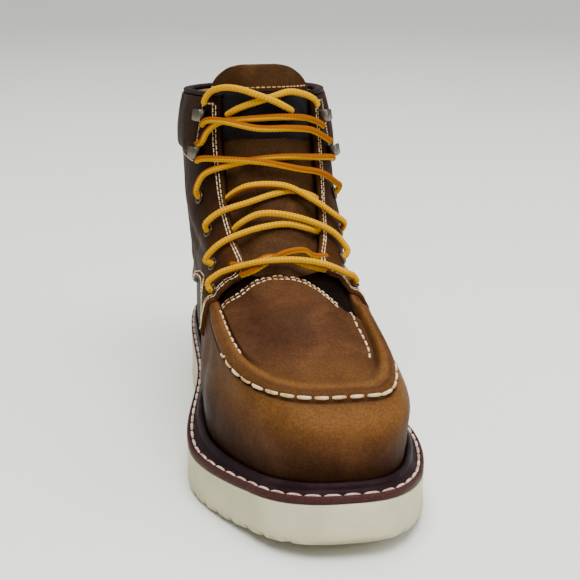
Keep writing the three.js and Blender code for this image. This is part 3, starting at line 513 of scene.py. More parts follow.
class Look:
    """A procedural material in the making, with the nodes that it needs."""

    def __init__(self, name, rough, metal=0.0):
        self.material = bpy.data.materials.new(name)
        self.material.use_nodes = True
        self.nodes, self.links = self.material.node_tree.nodes, self.material.node_tree.links
        self.shader = self.nodes["Principled BSDF"].inputs
        self.shader["Roughness"].default_value = rough
        self.shader["Metallic"].default_value = metal
        self.shader["Specular IOR Level"].default_value = 0.5 if metal else 0.025

    def add(self, kind, settings=(), **inputs):
        made = self.nodes.new(kind)
        for key, value in dict(settings).items():
            setattr(made, key, value)
        for key, value in inputs.items():
            made.inputs[key.replace("_", " ")].default_value = value
        return made

    def textured(self, kind, settings=(), **inputs):
        """A texture node over the object's own coordinates."""
        made = self.add(kind, settings, **inputs)
        self.links.new(self.add("ShaderNodeTexCoord").outputs["Object"], made.inputs["Vector"])
        return made

    def noise(self, scale, detail=4.0, rough=0.5):
        return self.textured("ShaderNodeTexNoise", Scale=scale, Detail=detail, Roughness=rough).outputs["Fac"]

    def cells(self, scale):
        edges = {"feature": "DISTANCE_TO_EDGE"}
        return self.textured("ShaderNodeTexVoronoi", edges, Scale=scale).outputs["Distance"]

    def value(self, name):
        return self.add("ShaderNodeAttribute", {"attribute_name": name}).outputs["Fac"]

    def ramp(self, value, stops):
        """A smooth run of colours over a value, from (place, colour) stops."""
        made = self.add("ShaderNodeValToRGB")
        made.color_ramp.interpolation = "EASE"
        elements = made.color_ramp.elements
        while len(elements) < len(stops):
            elements.new(0.5)
        for element, (place, colour) in zip(elements, stops):
            element.position = place
            element.color = (*colour, 1)
        self.links.new(value, made.inputs["Fac"])
        return made.outputs["Color"]

    def grey(self, value, low, high, to_low=0.0, to_high=1.0):
        made = self.add("ShaderNodeMapRange", From_Min=low, From_Max=high, To_Min=to_low, To_Max=to_high)
        self.links.new(value, made.inputs["Value"])
        return made.outputs["Result"]

    def mixed(self, factor, a, b, mode="MIX"):
        made = self.add("ShaderNodeMix", {"data_type": "RGBA", "blend_type": mode})
        for socket, value in ((made.inputs["Factor"], factor), (made.inputs[6], a), (made.inputs[7], b)):
            if isinstance(value, bpy.types.NodeSocket):
                self.links.new(value, socket)
            elif isinstance(value, (int, float)):
                socket.default_value = value
            else:
                socket.default_value = (*value, 1)
        return made.outputs[2]

    def finish(self, colour, bumps=()):
        """Links the colour, and bumps from (height, depth in millimetres, strength) rows."""
        self.links.new(colour, self.shader["Base Color"])
        last = None
        for height, depth, strength in bumps:
            made = self.add("ShaderNodeBump", Strength=strength, Distance=depth * MM)
            self.links.new(height, made.inputs["Height"])
            if last:
                self.links.new(last, made.inputs["Normal"])
            last = made.outputs["Normal"]
        if last:
            self.links.new(last, self.shader["Normal"])
        return self.material


def rgb(*screen):
    """A colour from screen values, as linear light."""
    return tuple(c / 255 / 12.92 if c < 10.3 else ((c / 255 + 0.055) / 1.055) ** 2.4 for c in screen)


def darker(colour, share):
    return tuple(share * c for c in colour)


def leather(name, dark, middle, light, rough=0.5, grain=1.0, painted_highlight=None, band=None):
    """Pull-up leather: three tones in soft clouds, fine pores and creases. A highlight colour, if given,
    is a painted highlight, with painted shade and a painted shadow, where the point values say so; band
    lightens it where its point value says so."""
    look = Look(name, rough)
    colour = look.ramp(look.noise(CLOUD, 6, 0.66), [(0.2, dark), (0.46, middle), (0.68, light)])
    if painted_highlight:
        # Painted highlight: a lighter tone where the point value asks for it.
        amount = look.add("ShaderNodeMath", {"operation": "MULTIPLY", "use_clamp": True})
        look.links.new(look.value("painted_highlight"), amount.inputs[0])
        look.links.new(look.grey(look.noise(BLOTCH, 6, 0.7), 0.3, 0.7, 0.6, 1.25), amount.inputs[1])
        colour = look.mixed(amount.outputs[0], colour, painted_highlight)
        # Painted shade towards the dark tone, then a near-black painted shadow where the under value says so.
        colour = look.mixed(look.grey(look.value("shade"), 0, 1), colour, dark)
        colour = look.mixed(look.value("under"), colour, darker(dark, 0.3))
    if band:
        colour = look.mixed(look.value("band"), colour, band)
    specks = look.grey(look.noise(SPECK, 3, 0.6), 0.35, 0.65, 0.78, 1.16)
    colour = look.mixed(1.0, colour, specks, "MULTIPLY")
    worn = look.grey(look.noise(PATCH, 5, 0.6), 0.3, 0.7, rough - 0.1, rough + 0.12)
    look.links.new(worn, look.shader["Roughness"])
    return look.finish(colour, [
        (look.noise(CREASE, 5, 0.6), 0.9 * grain, 0.35), (look.cells(PORE), 0.25 * grain, 0.45),
        (look.noise(FINE, 3, 0.6), 0.12 * grain, 0.4)])


VAMP = leather("vamp_leather", rgb(28, 15, 8), rgb(62, 37, 20), rgb(80, 50, 28), painted_highlight=rgb(100, 65, 30))
SHAFT = leather("shaft_leather", rgb(20, 10, 5), rgb(44, 24, 11), rgb(62, 36, 18), 0.52,
                painted_highlight=rgb(84, 50, 24))
COLLAR_LEATHER = leather("collar_leather", rgb(24, 15, 10), rgb(40, 27, 18), rgb(58, 42, 28), 0.5, 0.8)
BINDING_LEATHER = leather("binding_leather", rgb(22, 16, 14), rgb(34, 25, 22), rgb(46, 34, 29), 0.5, 0.6)
TONGUE_LEATHER = leather("tongue_leather", rgb(38, 22, 11), rgb(58, 37, 18), rgb(76, 50, 26), 0.58)
WELT_LEATHER = leather("welt_leather", rgb(22, 13, 16), rgb(34, 22, 25), rgb(48, 34, 37), 0.4, 0.5,
                       band=rgb(64, 38, 36))
LINING = leather("lining_leather", rgb(96, 72, 50), rgb(120, 92, 66), rgb(140, 110, 82), 0.8, 0.7)


def rubber():
    look = Look("sole_rubber", 0.62)
    colour = look.ramp(look.noise(30), [(0.35, rgb(190, 184, 152)), (0.65, rgb(206, 200, 168))])
    # Darker towards the bottom edge, in patches, where the point value says so.
    colour = look.mixed(look.grey(look.value("low_edge_darkening"), 0, 1), colour, rgb(118, 106, 84))
    return look.finish(colour, [(look.noise(220), 0.4, 0.3), (look.noise(1600, 2), 0.08, 0.4)])


def cloth():
    look = Look("tongue_cloth", 0.9)
    waves = [look.textured("ShaderNodeTexWave", {"bands_direction": way}, Scale=SPECK, Distortion=0.4)
             for way in ("X", "Z")]
    weave = look.mixed(0.5, *[each.outputs["Color"] for each in waves])
    look.shader["Sheen Weight"].default_value = 0.05
    return look.finish(look.mixed(look.noise(60, 5), rgb(16, 13, 15), rgb(28, 23, 26)), [(weave, 0.3, 0.6)])


def thread(name, light, dark):
    look = Look(name, 0.65)
    colour = look.ramp(look.noise(160), [(0.3, dark), (0.62, light)])
    return look.finish(colour, [(look.noise(2600, 2), 0.12, 0.5)])


def laces():
    """Yellow braid with orange on one side and between its plaits."""
    look = Look("lace_braid", 0.7)
    colour = look.ramp(look.value("tracer"), [(0.5, (0.54, 0.275, 0.0)), (0.68, (0.22, 0.065, 0.003))])
    between = look.grey(look.value("braid"), 0.05, 0.55, 0.75, 0.0)
    colour = look.mixed(between, colour, (0.3, 0.075, 0.0))
    return look.finish(colour, [(look.noise(2200, 2), 0.12, 0.5)])


def metal(name, colour, rough):
    look = Look(name, rough, 1.0)
    tint = look.mixed(look.noise(300), colour, darker(colour, 0.7))
    return look.finish(tint, [(look.noise(700, 3), 0.06, 0.3)])


def paper(name, colour, rough):
    look = Look(name, rough)
    return look.finish(look.mixed(look.noise(3, 2), colour, darker(colour, 0.96)))


CLOTH = cloth()
THREAD = thread("cream_thread", rgb(222, 196, 158), rgb(168, 132, 90))
TAN_THREAD = thread("tan_thread", rgb(196, 156, 104), rgb(150, 108, 66))
WELT_THREAD = thread("welt_thread", rgb(216, 190, 168), rgb(160, 128, 112))
LACE_BRAID = laces()
HOOK_METAL = metal("hook_metal", rgb(116, 108, 96), 0.34)
EYELET_METAL = metal("eyelet_metal", rgb(86, 72, 62), 0.35)


# Camera, lights and floor

CAMERA_PLACE = (-0.1134, -0.6868, 0.2999)
CAMERA_AIM = (0.004, -0.006, 0.083)
CAMERA_LENS = 84
BOOT_MIDDLE = (0, 0, 0.08)
Lamp = namedtuple("Lamp", "name place aim size power")
LAMPS = [
    Lamp("key", (0, -0.55, 1.7), BOOT_MIDDLE, 1.5, 52),
    Lamp("fill", (1.3, -0.8, 0.9), BOOT_MIDDLE, 1.2, 12),
    Lamp("top", (0.1, 0.7, 1.7), (0, 0, 0.05), 1.2, 16),
]
SKY = (0.88, 0.91, 0.94, 1)
SKY_STRENGTH = 0.5


def look_at(obj, aim):
    obj.rotation_euler = (Vector(aim) - obj.location).to_track_quat("-Z", "Y").to_euler()


camera = bpy.data.objects.new("camera", bpy.data.cameras.new("camera"))
bpy.context.scene.collection.objects.link(camera)
bpy.context.scene.camera = camera
camera.location = CAMERA_PLACE
camera.data.lens = CAMERA_LENS
camera.data.clip_start = 0.01
look_at(camera, CAMERA_AIM)

for lamp in LAMPS:
    light = bpy.data.objects.new(lamp.name, bpy.data.lights.new(lamp.name, "AREA"))
    light.data.shape, light.data.size, light.data.energy = "DISK", lamp.size, lamp.power
    light.location = lamp.place
    bpy.context.scene.collection.objects.link(light)
    look_at(light, lamp.aim)

world = bpy.data.worlds.new("studio")
world.use_nodes = True
world.node_tree.nodes["Background"].inputs["Color"].default_value = SKY
world.node_tree.nodes["Background"].inputs["Strength"].default_value = SKY_STRENGTH
bpy.context.scene.world = world

# The floor is a round sheet of paper that sweeps up to a wall all round, as (radius, height) rows
FLAT = 2
SWEEP = 1.4
SWEEP_TURNS = 64
FLOOR_DROP = 0.0004


def make_floor():
    rows = [(0.001, 0), (FLAT, 0)]
    rows += [(FLAT + SWEEP * math.sin(t), SWEEP - SWEEP * math.cos(t)) for t in np.linspace(0.1, 1.45, 12)]
    turns = [2 * math.pi * k / SWEEP_TURNS for k in range(SWEEP_TURNS)]
    mesh = bpy.data.meshes.new("floor")
    mesh.from_pydata([(r * math.cos(turn), r * math.sin(turn), z) for r, z in rows for turn in turns], [],
                     quads(numbers(len(rows), SWEEP_TURNS)))
    mesh.shade_smooth()
    floor = bpy.data.objects.new("floor", mesh)
    floor.location = (0, 0, -FLOOR_DROP)
    bpy.context.scene.collection.objects.link(floor)
    mesh.materials.append(paper("floor_paper", rgb(236, 236, 230), 0.9))


make_floor()


# Laces: the two ends first, then the bars and crossings

BRAID_TURNS = 3
BRAID_PITCH = 7.2
BRAID_RELIEF = 0.09
LACE_STEP = 0.5
LACE_SIDES = 20
CORD_STEP = 1.5
CORD_TURN = 0.04


def lace_line(points):
    u, v, lift = np.asarray(points, float).T
    return curve_through(lifted(u, v, lift * LACE), 14)


def add_lace(name, lines, routes, turns, replaced):
    """Braided laces, yellow on one side; turns say how far each is twisted from showing it."""
    parts, tracer, braid = [], [], []
    for line, route_, turn in zip(lines, routes, turns):
        u, v, _ = route_[len(route_) // 2]
        even = resampled(line, LACE_STEP)
        made = tube(even, LACE / 2, skin_normal(np.array(u), np.array(v)), LACE_SIDES)
        spiral = 2 * np.pi * made.run / BRAID_PITCH
        around = BRAID_TURNS * made.around
        plait = np.sin(around + 2 * spiral) * np.sin(around - 2 * spiral)
        middle = np.repeat(even, LACE_SIDES, 0)
        parts.append((middle + (made.points - middle) * (1 + BRAID_RELIEF * plait)[:, None], made.faces))
        twist = made.around - 2 * np.pi * turn + 0.5 * np.sin(made.run * 0.05)
        tracer.append(0.5 - 0.5 * np.cos(twist) + 0.12 * plait)
        braid.append(0.5 + 0.5 * plait)
    obj = new_object(name, *joined(parts), LACE_BRAID, replaced, "lace")
    set_values(obj, "tracer", np.concatenate(tracer))
    set_values(obj, "braid", np.concatenate(braid))
    return obj


for name, points in LACE_ENDS.items():
    line = resampled(lace_line(points), CORD_STEP)
    piece = add_lace("cord_" + name, [line], [points], [CORD_TURN], name)
    float(run_of(line)[-1]) * MM

# Strands of each fixed lace, as the ends are given, and how far each is twisted
STRANDS = {
    "lace_bar": [
        [[-0.372, 4.25, 0.4], [-0.36, 4.45, 1.25], [-0.34, 4.8, 1.75], [-0.275, 5.6, 1.75],
         [-0.182, 6.5, 1.65], [-0.05, 7.08, 2.15], [0.026, 7.1, 2.25], [0.092, 6.84, 1.9], [0.2, 5.95, 1.7],
         [0.3, 4.85, 1.75], [0.352, 3.95, 1.75], [0.366, 3.68, 1.25], [0.376, 3.45, 0.4]],
        [[-0.15, 7.0, 0.3], [-0.075, 7.22, 0.6], [-0.032, 7.5, 0.75], [0.016, 7.4, 0.85],
         [0.06, 7.06, 0.95], [0.12, 6.8, 0.3]],
        [[0.14, 7.2, 0.3], [0.078, 7.42, 0.75], [0.056, 7.56, 1.3], [0.012, 7.5, 1.75],
         [-0.04, 7.2, 1.3], [-0.07, 6.98, 1.0], [-0.13, 6.7, 0.3]]],
    "lace_lower_cross": [
        [[-0.272, 6.3, 0.4], [-0.262, 6.45, 1.25], [-0.25, 6.62, 1.75], [-0.168, 7.48, 1.65],
         [-0.074, 8.3, 1.1], [0.022, 8.56, 0.7], [0.07, 8.42, 0.6], [0.105, 8.28, 0.4], [0.16, 8.1, -0.4]],
        [[0.236, 6.55, 0.4], [0.231, 6.7, 1.25], [0.222, 6.88, 1.75], [0.208, 7.12, 1.75],
         [0.156, 7.9, 1.65], [0.042, 8.66, 1.65], [-0.044, 8.8, 1.45], [-0.105, 8.52, 0.6],
         [-0.15, 8.2, -0.4]]],
    "lace_upper_cross": [
        [[-0.24, 7.85, 0.4], [-0.233, 7.98, 1.25], [-0.22, 8.12, 1.75], [-0.164, 8.66, 1.65],
         [-0.072, 9.2, 1.1], [0.004, 9.52, 0.65], [0.06, 9.58, 0.6], [0.125, 9.34, 0.35], [0.18, 9.1, -0.4]],
        [[0.272, 7.55, 0.4], [0.263, 7.68, 1.25], [0.25, 7.87, 1.75], [0.186, 8.42, 1.65],
         [0.112, 9.12, 1.45], [0.032, 9.66, 1.65], [-0.072, 9.7, 1.35], [-0.13, 9.44, 0.5],
         [-0.17, 9.2, -0.4]]],
    "lace_ankle_cross": [
        [[-0.293, 8.88, 0.4], [-0.285, 9.02, 1.25], [-0.272, 9.2, 1.75], [-0.23, 9.84, 1.65],
         [-0.128, 10.34, 1.2], [-0.04, 10.56, 0.75], [0.036, 10.6, 0.8], [0.15, 10.46, 1.4],
         [0.236, 10.3, 1.6], [0.283, 10.16, 1.3]],
        [[-0.285, 10.22, 1.3], [-0.24, 10.38, 1.6], [-0.128, 10.48, 1.9], [-0.022, 10.42, 1.75],
         [0.07, 10.2, 1.6], [0.162, 9.92, 1.65], [0.245, 9.4, 1.7], [0.284, 9.16, 1.75],
         [0.294, 9.0, 1.25], [0.3, 8.86, 0.4]]],
    "lace_hook_cross": [
        [[-0.283, 10.78, 1.3], [-0.24, 10.9, 1.5], [-0.218, 11.16, 1.4], [-0.17, 11.42, 1.3],
         [-0.106, 11.5, 1.05], [0.036, 11.56, 1.1], [0.12, 11.5, 1.2], [0.178, 11.36, 1.4],
         [0.22, 11.22, 1.3]],
        [[-0.25, 11.3, 1.3], [-0.212, 11.44, 1.75], [-0.144, 11.46, 2.2], [-0.04, 11.32, 1.7],
         [0.06, 11.3, 1.5], [0.13, 11.22, 1.7], [0.19, 11.02, 1.6], [0.236, 10.84, 1.6],
         [0.28, 10.76, 1.3]]],
}
TWISTS = {"lace_bar": [0.05, 0.4, 0.62], "lace_lower_cross": [0.06, -0.05], "lace_upper_cross": [0.05, 0.1],
          "lace_ankle_cross": [0.3, 0.42], "lace_hook_cross": [0.34, 0.36]}
for name, strands in STRANDS.items():
    add_lace(name + "_looks", [lace_line(points) for points in strands], strands, TWISTS[name], name)


# Sole

SOLE_STATIONS = 1040
SOLE_ACROSS = 14
NEAR_EDGE = 0.003
GROOVE_FLANK = [-0.5, 0.4]

# The tread's corner from the underside out to the wall, as rows of inset, rise and groove depth
TREAD_CORNER = [
    (3, 0, 1), (1.7, 0.05, 1), (0.9, 0.35, 0.9), (0.35, 0.9, 0.7), (0.08, 1.6, 0.45), (0, 2.3, 0.2)]
WALL_FROM = 3.2
WALL_TO = 0.6
WALL_HOLLOW = 0.35
SOLE_LIP = [(0.12, 0.25), (0.5, 0), (9, 0)]


def sole_edge(u, inset):
    """Places in from the sole's edge, seen from above."""
    ahead, behind = (outline_point(SOLE_HALVES, wrap(u + d)) for d in (NEAR_EDGE, -NEAR_EDGE))
    inward = unit(np.stack([behind[1] - ahead[1], ahead[0] - behind[0]], -1))
    x, y, _ = outline_point(SOLE_HALVES, u)
    return np.stack([x, y], -1) + inward * np.asarray(inset, float)[..., None] + [SHIFT, 0]


def ring(u, inset, height):
    flat = sole_edge(u, np.broadcast_to(inset, u.shape))
    return np.stack([flat[:, 0], flat[:, 1], height(flat[:, 1])], -1)


def groove(y):
    """How much of a tread groove is at a place along the sole."""
    off = np.abs((y / TREAD_PITCH + 0.5) % 1 - 0.5) * TREAD_PITCH
    return 1 - step(TREAD_GROOVE / 2 + GROOVE_FLANK[0], TREAD_GROOVE / 2 + GROOVE_FLANK[1], off)


def tread(y, rise=0, depth=1):
    return sole_bottom(y) + rise + depth * TREAD_DEPTH * groove(y)


def sole_wall(y, share):
    low = sole_bottom(y) + WALL_FROM
    return low + (sole_top(y) - WALL_TO - low) * share


def make_sole():
    u = round_stations(SOLE_STATIONS)
    rings = [ring(u, inset, lambda y: tread(y, rise, depth)) for inset, rise, depth in TREAD_CORNER]
    rings += [ring(u, WALL_HOLLOW * math.sin(math.pi * f), lambda y: sole_wall(y, f))
              for f in (0, 0.2, 0.4, 0.6, 0.8, 1)]
    rings += [ring(u, inset, lambda y: sole_top(y) - drop) for inset, drop in SOLE_LIP]
    ids = numbers(len(rings), SOLE_STATIONS)
    half = np.arange(SOLE_STATIONS // 2 + 1)
    left, right = half, -half % SOLE_STATIONS
    share = np.linspace(0, 1, SOLE_ACROSS)[None, :, None]
    grid = rings[0][left][:, None] * (1 - share) + rings[0][right][:, None] * share
    grid[..., 2] = tread(grid[..., 1])
    cell = ids.size + numbers(len(half), SOLE_ACROSS)
    cell[:, 0], cell[:, -1] = ids[0, left], ids[0, right]
    points = np.concatenate(rings + [grid.reshape(-1, 3)])
    faces = quads(ids) + quads(cell, around=False)
    sole = new_object("sole_body", points, faces, rubber(), "outsole", "sole")
    # Darker over the lowest few millimetres of the sole, more so in patches along it.
    rise = points[:, 2] - sole_bottom(points[:, 1])
    patches = 0.5 + 0.5 * np.sin(points[:, 1] * 0.9)
    set_values(sole, "low_edge_darkening", 0.5 * (1 - step(0, 4, rise)) * patches + 0.15 * (1 - step(0, 9, rise)))


make_sole()


# Welt and insole

LEDGE_STATIONS = 180
EDGE_STATIONS = 1200
WELT_STATIONS = 900
INSOLE_STATIONS = 240
RIB_LEAST = 1.6
RIB_SHARE = 0.52
RIB_TURNS = [0.04, 0.84]

# Rings in from the welt's edge and from the insole's rim, as rows of inset and rise
WELT_RINGS = [(0, -2.2), (0, -0.9), (0.25, -0.25), (0.9, 0), (1.8, -0.05), (2.3, -0.45), (3.3, -0.5),
              (3.9, -0.05)]
WELT_BAND = slice(1, 6)
INSOLE_RINGS = [(2.9, GAP), (2.9, 2.2), (4, 3), (14, 2.6), (24, 2.4)]


def measured_ledge():
    """How wide the welt shows beyond the upper's foot, at even places round the boot."""
    edge = sole_edge(round_stations(EDGE_STATIONS), np.zeros(EDGE_STATIONS))
    foot = skin(round_stations(LEDGE_STATIONS), 0.0)[:, :2]
    wide = [np.hypot(*(edge - p).T).min() for p in foot]
    return np.array(wide + wide[:1])


LEDGE = measured_ledge()


def ledge(u):
    """The welt's width in view, and how far its rings draw together where it is narrow."""
    wide = np.interp(u, np.append(round_stations(LEDGE_STATIONS), 1), LEDGE)
    return wide, np.clip((wide - RIB_LEAST) / 9, 0.25, 1) ** 0.6


def foot_at(u):
    """The upper's foot, and the level way out from it."""
    return skin(u, 0.0), unit(skin_normal(u, 0.0) * [1, 1, 0])


def make_welt():
    u = round_stations(WELT_STATIONS)
    wide, drawn = ledge(u)
    foot, outward = foot_at(u)

    def beside(out, rise):
        spots = foot + outward * np.broadcast_to(out, u.shape)[:, None]
        spots[:, 2] = welt_top(spots[:, 1]) + rise
        return spots

    rings = [ring(u, 0.5, lambda y: sole_top(y) + GAP), ring(u, 0.1, lambda y: sole_top(y) + 0.6)]
    rings += [ring(u, inset * drawn, lambda y: welt_top(y) + rise) for inset, rise in WELT_RINGS]
    half = np.clip(RIB_SHARE * wide, RIB_LEAST, WELT_RIB_WIDTH) / 2
    for turn in math.pi * np.linspace(*RIB_TURNS, 11):
        rings.append(beside(half + 0.2 + half * math.cos(turn), 0.1 + WELT_RIB_HEIGHT * math.sin(turn)))
    rings += [beside(0.35, 0.6)]
    rings += [beside(-WELT_UNDER_UPPER, rise) for rise in (0, GAP - WELT_THICKNESS)]
    ids = numbers(len(rings), WELT_STATIONS)
    welt = new_object("welt_strip", rings, quads(ids, along=True), WELT_LEATHER, "welt", "welt")
    band = np.zeros(ids.shape)
    band[WELT_BAND] = 1
    set_values(welt, "band", band)


def make_insole():
    foot, outward = foot_at(round_stations(INSOLE_STATIONS))
    rings = []
    for inset, rise in INSOLE_RINGS:
        spots = foot - outward * inset
        spots[:, 2] = welt_top(foot[:, 1]) + rise
        rings.append(spots)
    ids = numbers(len(rings), INSOLE_STATIONS)
    faces = quads(ids) + [ids[-1].tolist(), ids[0, ::-1].tolist()]
    new_object("insole_board", rings, faces, LINING, "insole", "insole")


make_welt()
make_insole()


# Creases

# A crease is a dent or swell in millimetres. It lies at a place along the boot or up it, leans over
# the other way, and fades from a middle over a reach that way.
Crease = namedtuple("Crease", "high at lean wide middle reach")
PLUG_CREASES = [
    Crease(-0.7, -58, -0.22, 5, 0, 34), Crease(-0.5, -76, 0.12, 4.5, 0, 34), Crease(0.45, -66, 0, 5, 0, 34)]
WALL_CREASES = [
    Crease(-0.8, -22, -0.5, 5, 0, math.inf), Crease(-0.7, -5, -0.4, 6, 0, math.inf),
    Crease(0.6, -14, -0.45, 6, 0, math.inf)]
ANKLE_CREASES = [
    Crease(-0.9, 99, 0.25, 4.5, 20, 40), Crease(0.6, 108, 0.2, 5, 25, 40),
    Crease(-0.7, 90, -0.15, 5, 45, 40), Crease(-0.5, 126, 0, 5, 20, 22)]


def creased(rows, along, across):
    return sum(row.high * bell(along, row.at + row.lean * across, row.wide)
               * bell(across, row.middle, row.reach) for row in rows)


def worn_toe(v, point):
    """Soft creases and hollows of the plug and of the walls below it."""
    x, y, z = np.moveaxis(point, -1, 0)
    plug = step(4.05, 4.6, v) * (1 - step(8, 9, v))
    wall = step(0.4, 1.2, v) * (1 - step(2.3, 2.8, v))
    return plug * creased(PLUG_CREASES, y, x) + wall * creased(WALL_CREASES, y, z)


# Upper

# Columns before and behind the throat's edge, on each half
FRONT = 24
REAR = 128
REAR_SPREAD = [[0, 0.6, 1], [0, 0.4, 1]]
UPPER_ROWS = [(0, 2.4, 22), (2.4, 4.6, 44), (4.6, 7, 22), (7, 12, 26)]

# The plug's stitched rear edge, across the boot and along it
PLUG_EDGE_X = [-60, -47, -36, -27, -18, -8, 4, 11, 17, 24, 40]
PLUG_EDGE_Y = [-41, -42.5, -42, -41.5, -40, -39.5, -43.5, -50.5, -57.5, -61.5, -64]
PLUG_DROP = 1.5
PLUG_SWELL = 0.9


def spread(*runs):
    """Places made of runs of (start, end, count), each without its end, and the last end."""
    parts = [np.linspace(start, end, count, endpoint=False) for start, end, count in runs]
    return np.concatenate(parts + [[runs[-1][1]]])


def upper_columns(v):
    """Places round the boot for a row of the upper, evenly fine over the toe."""
    half = []
    for side in (-1, 1):
        edge = float(throat_edge(v, side))
        front = edge * np.arange(FRONT) / FRONT
        back = edge + (1 - edge) * smooth(*REAR_SPREAD, np.arange(REAR + 1) / REAR)
        half.append(side * np.r_[front, back])
    return np.r_[half[0][::-1], half[1][1:-1]]


def plug_edge(x):
    return smooth(PLUG_EDGE_X, PLUG_EDGE_Y, x)


def make_upper():
    rows = spread(*UPPER_ROWS)
    u = np.stack([upper_columns(v) for v in rows])
    v = np.broadcast_to(rows[:, None], u.shape)
    base, normal = skin(u, v), skin_normal(u, v)
    x, y = base[..., 0], base[..., 1]
    behind = y - plug_edge(x)
    past = step(-0.5, 0.7, behind)
    # under marks the recess behind the plug's rear edge: the leather drops there and is coloured near-black
    # as a painted shadow.
    under = past * step(3.9, 4.1, v)
    swell = PLUG_SWELL * step(-14, -1, behind) * (1 - past) * step(4, 5, v)
    out = ridge(u, v, y) + worn_toe(v, base) + swell - PLUG_DROP * under
    outer, inner = base + normal * out[..., None], base - normal * WALL
    for sheet in (outer, inner):
        sheet[0, :, 2] = welt_top(sheet[0, :, 1]) + GAP
    half = u.shape[1] // 2
    keep = np.ones((len(rows) - 1, u.shape[1]), bool)
    keep[np.searchsorted(rows, THROAT - 1e-6):, half - FRONT:half + FRONT] = False
    upper = shell("upper_shell", outer, inner, [VAMP, LINING], "upper", "vamp", closed=True, keep=keep)

    # Painted highlights: lighter leather on the toe wall below the moc seam, on the roll's front, on the
    # plug's front and a little near the throat.
    painted_highlight_share = (1 - step(-60, 10, y)) * (bell(v, 2.4, 0.85) * (v < 3.4) + bell(v, 3.8, 0.3))
    painted_highlight_share += 0.75 * bell(v, 4.7, 0.6) * (v > 3.8) * (1 - step(-118, -88, y))
    painted_highlight_share += 0.2 * bell(v, 6.7, 0.45) * (v < 7.5)
    # Painted shade: darker near the welt, in the moc seam's grooves and on both sides where they turn from
    # the light, plus a darkening towards the back; the recess behind the plug's edge takes the painted
    # shadow.
    painted_shade = 0.7 * (1 - step(0, 1.5, v)) + 0.7 * bell(v, SEAM_OUTSIDE - 0.06, 0.08)
    painted_shade += (0.15 + 0.65 * toe_side(u)) * bell(v, SEAM_INSIDE + 0.06, 0.12)
    inward = normal[..., 0]
    side_shade = 0.5 * step(0.86, 1, -inward) + 0.4 * step(0.88, 1, inward)
    painted_shade += 0.35 * step(-40, 20, y) + side_shade * (v < 7.5) * step(-112, -64, y)
    painted_shade = np.clip(np.maximum(painted_shade, under), 0, 0.92)
    for name, values in (("painted_highlight", painted_highlight_share), ("shade", painted_shade), ("under", under)):
        set_values(upper, name, [values, 0 * values])
    return upper


upper = make_upper()


# Quarter

OVERHANG = 0.6
EDGE_REACH = 1.6
LOW_ROWS = 0.25
LOW_LEVEL = 4
QUARTER_ROWS = [(0, 0.02, 5), (0.02, 0.25, 16), (0.25, 0.76, 34), (0.76, 0.84, 16), (0.84, 0.985, 10),
                (0.985, 1, 4)]
QUARTER_COLUMNS = [(0, 0.93, 34), (0.93, 1.06, 9), (1.06, 1.93, 60), (1.93, 1.985, 6), (1.985, 2, 6)]


def wing(a):
    """The quarter's lower edge, in levels, at shares of the way back from its front."""
    return smooth(WING_SHARES, WING_LEVELS, a)


def moved(place, distance, v, side):
    """A place round one side of the boot, moved back by millimetres."""
    return place + distance / up_levels(HALF_RUN, v, side)


def quarter_edge(v, side):
    return moved(front_edge(v, side), -OVERHANG, v, side)


def quarter_grid(rows, columns):
    """Places on the quarter: rows from its lower edge (0) to the collar (1), columns from -2 to 2,
    with the front edges at the ends, the pad's seams at -1 and 1, and the heel at 0."""
    c, r = np.meshgrid(columns, rows)
    side = np.where(c < 0, -1, 1)
    ahead = np.clip(2 - np.abs(c), 0, 1)
    behind = np.clip(1 - np.abs(c), 0, 1)
    a = 0.45 * ahead + 0.55 * behind
    for _ in range(3):
        low = wing(a)
        v = np.where(r < LOW_ROWS, low + (LOW_LEVEL - low) * r / LOW_ROWS,
                     LOW_LEVEL + (COLLAR - LOW_LEVEL) * (r - LOW_ROWS) / (1 - LOW_ROWS))
        edge, seam = quarter_edge(v, side), up_levels(PAD_SEAM, v, side)
        place = edge + (seam - edge) * ahead + (1 - seam) * behind
        a = (place - edge) / (1 - edge)
    return side * place, v, a * up_levels(HALF_RUN, v, side), np.abs(c)


def edge_rise(distance, reach=EDGE_REACH):
    """A rounded edge: how full the leather is at a distance in from its cut edge."""
    f = np.clip(distance / reach, 0, 1)
    return np.sqrt(np.maximum(1 - (1 - f) ** 2, 0))


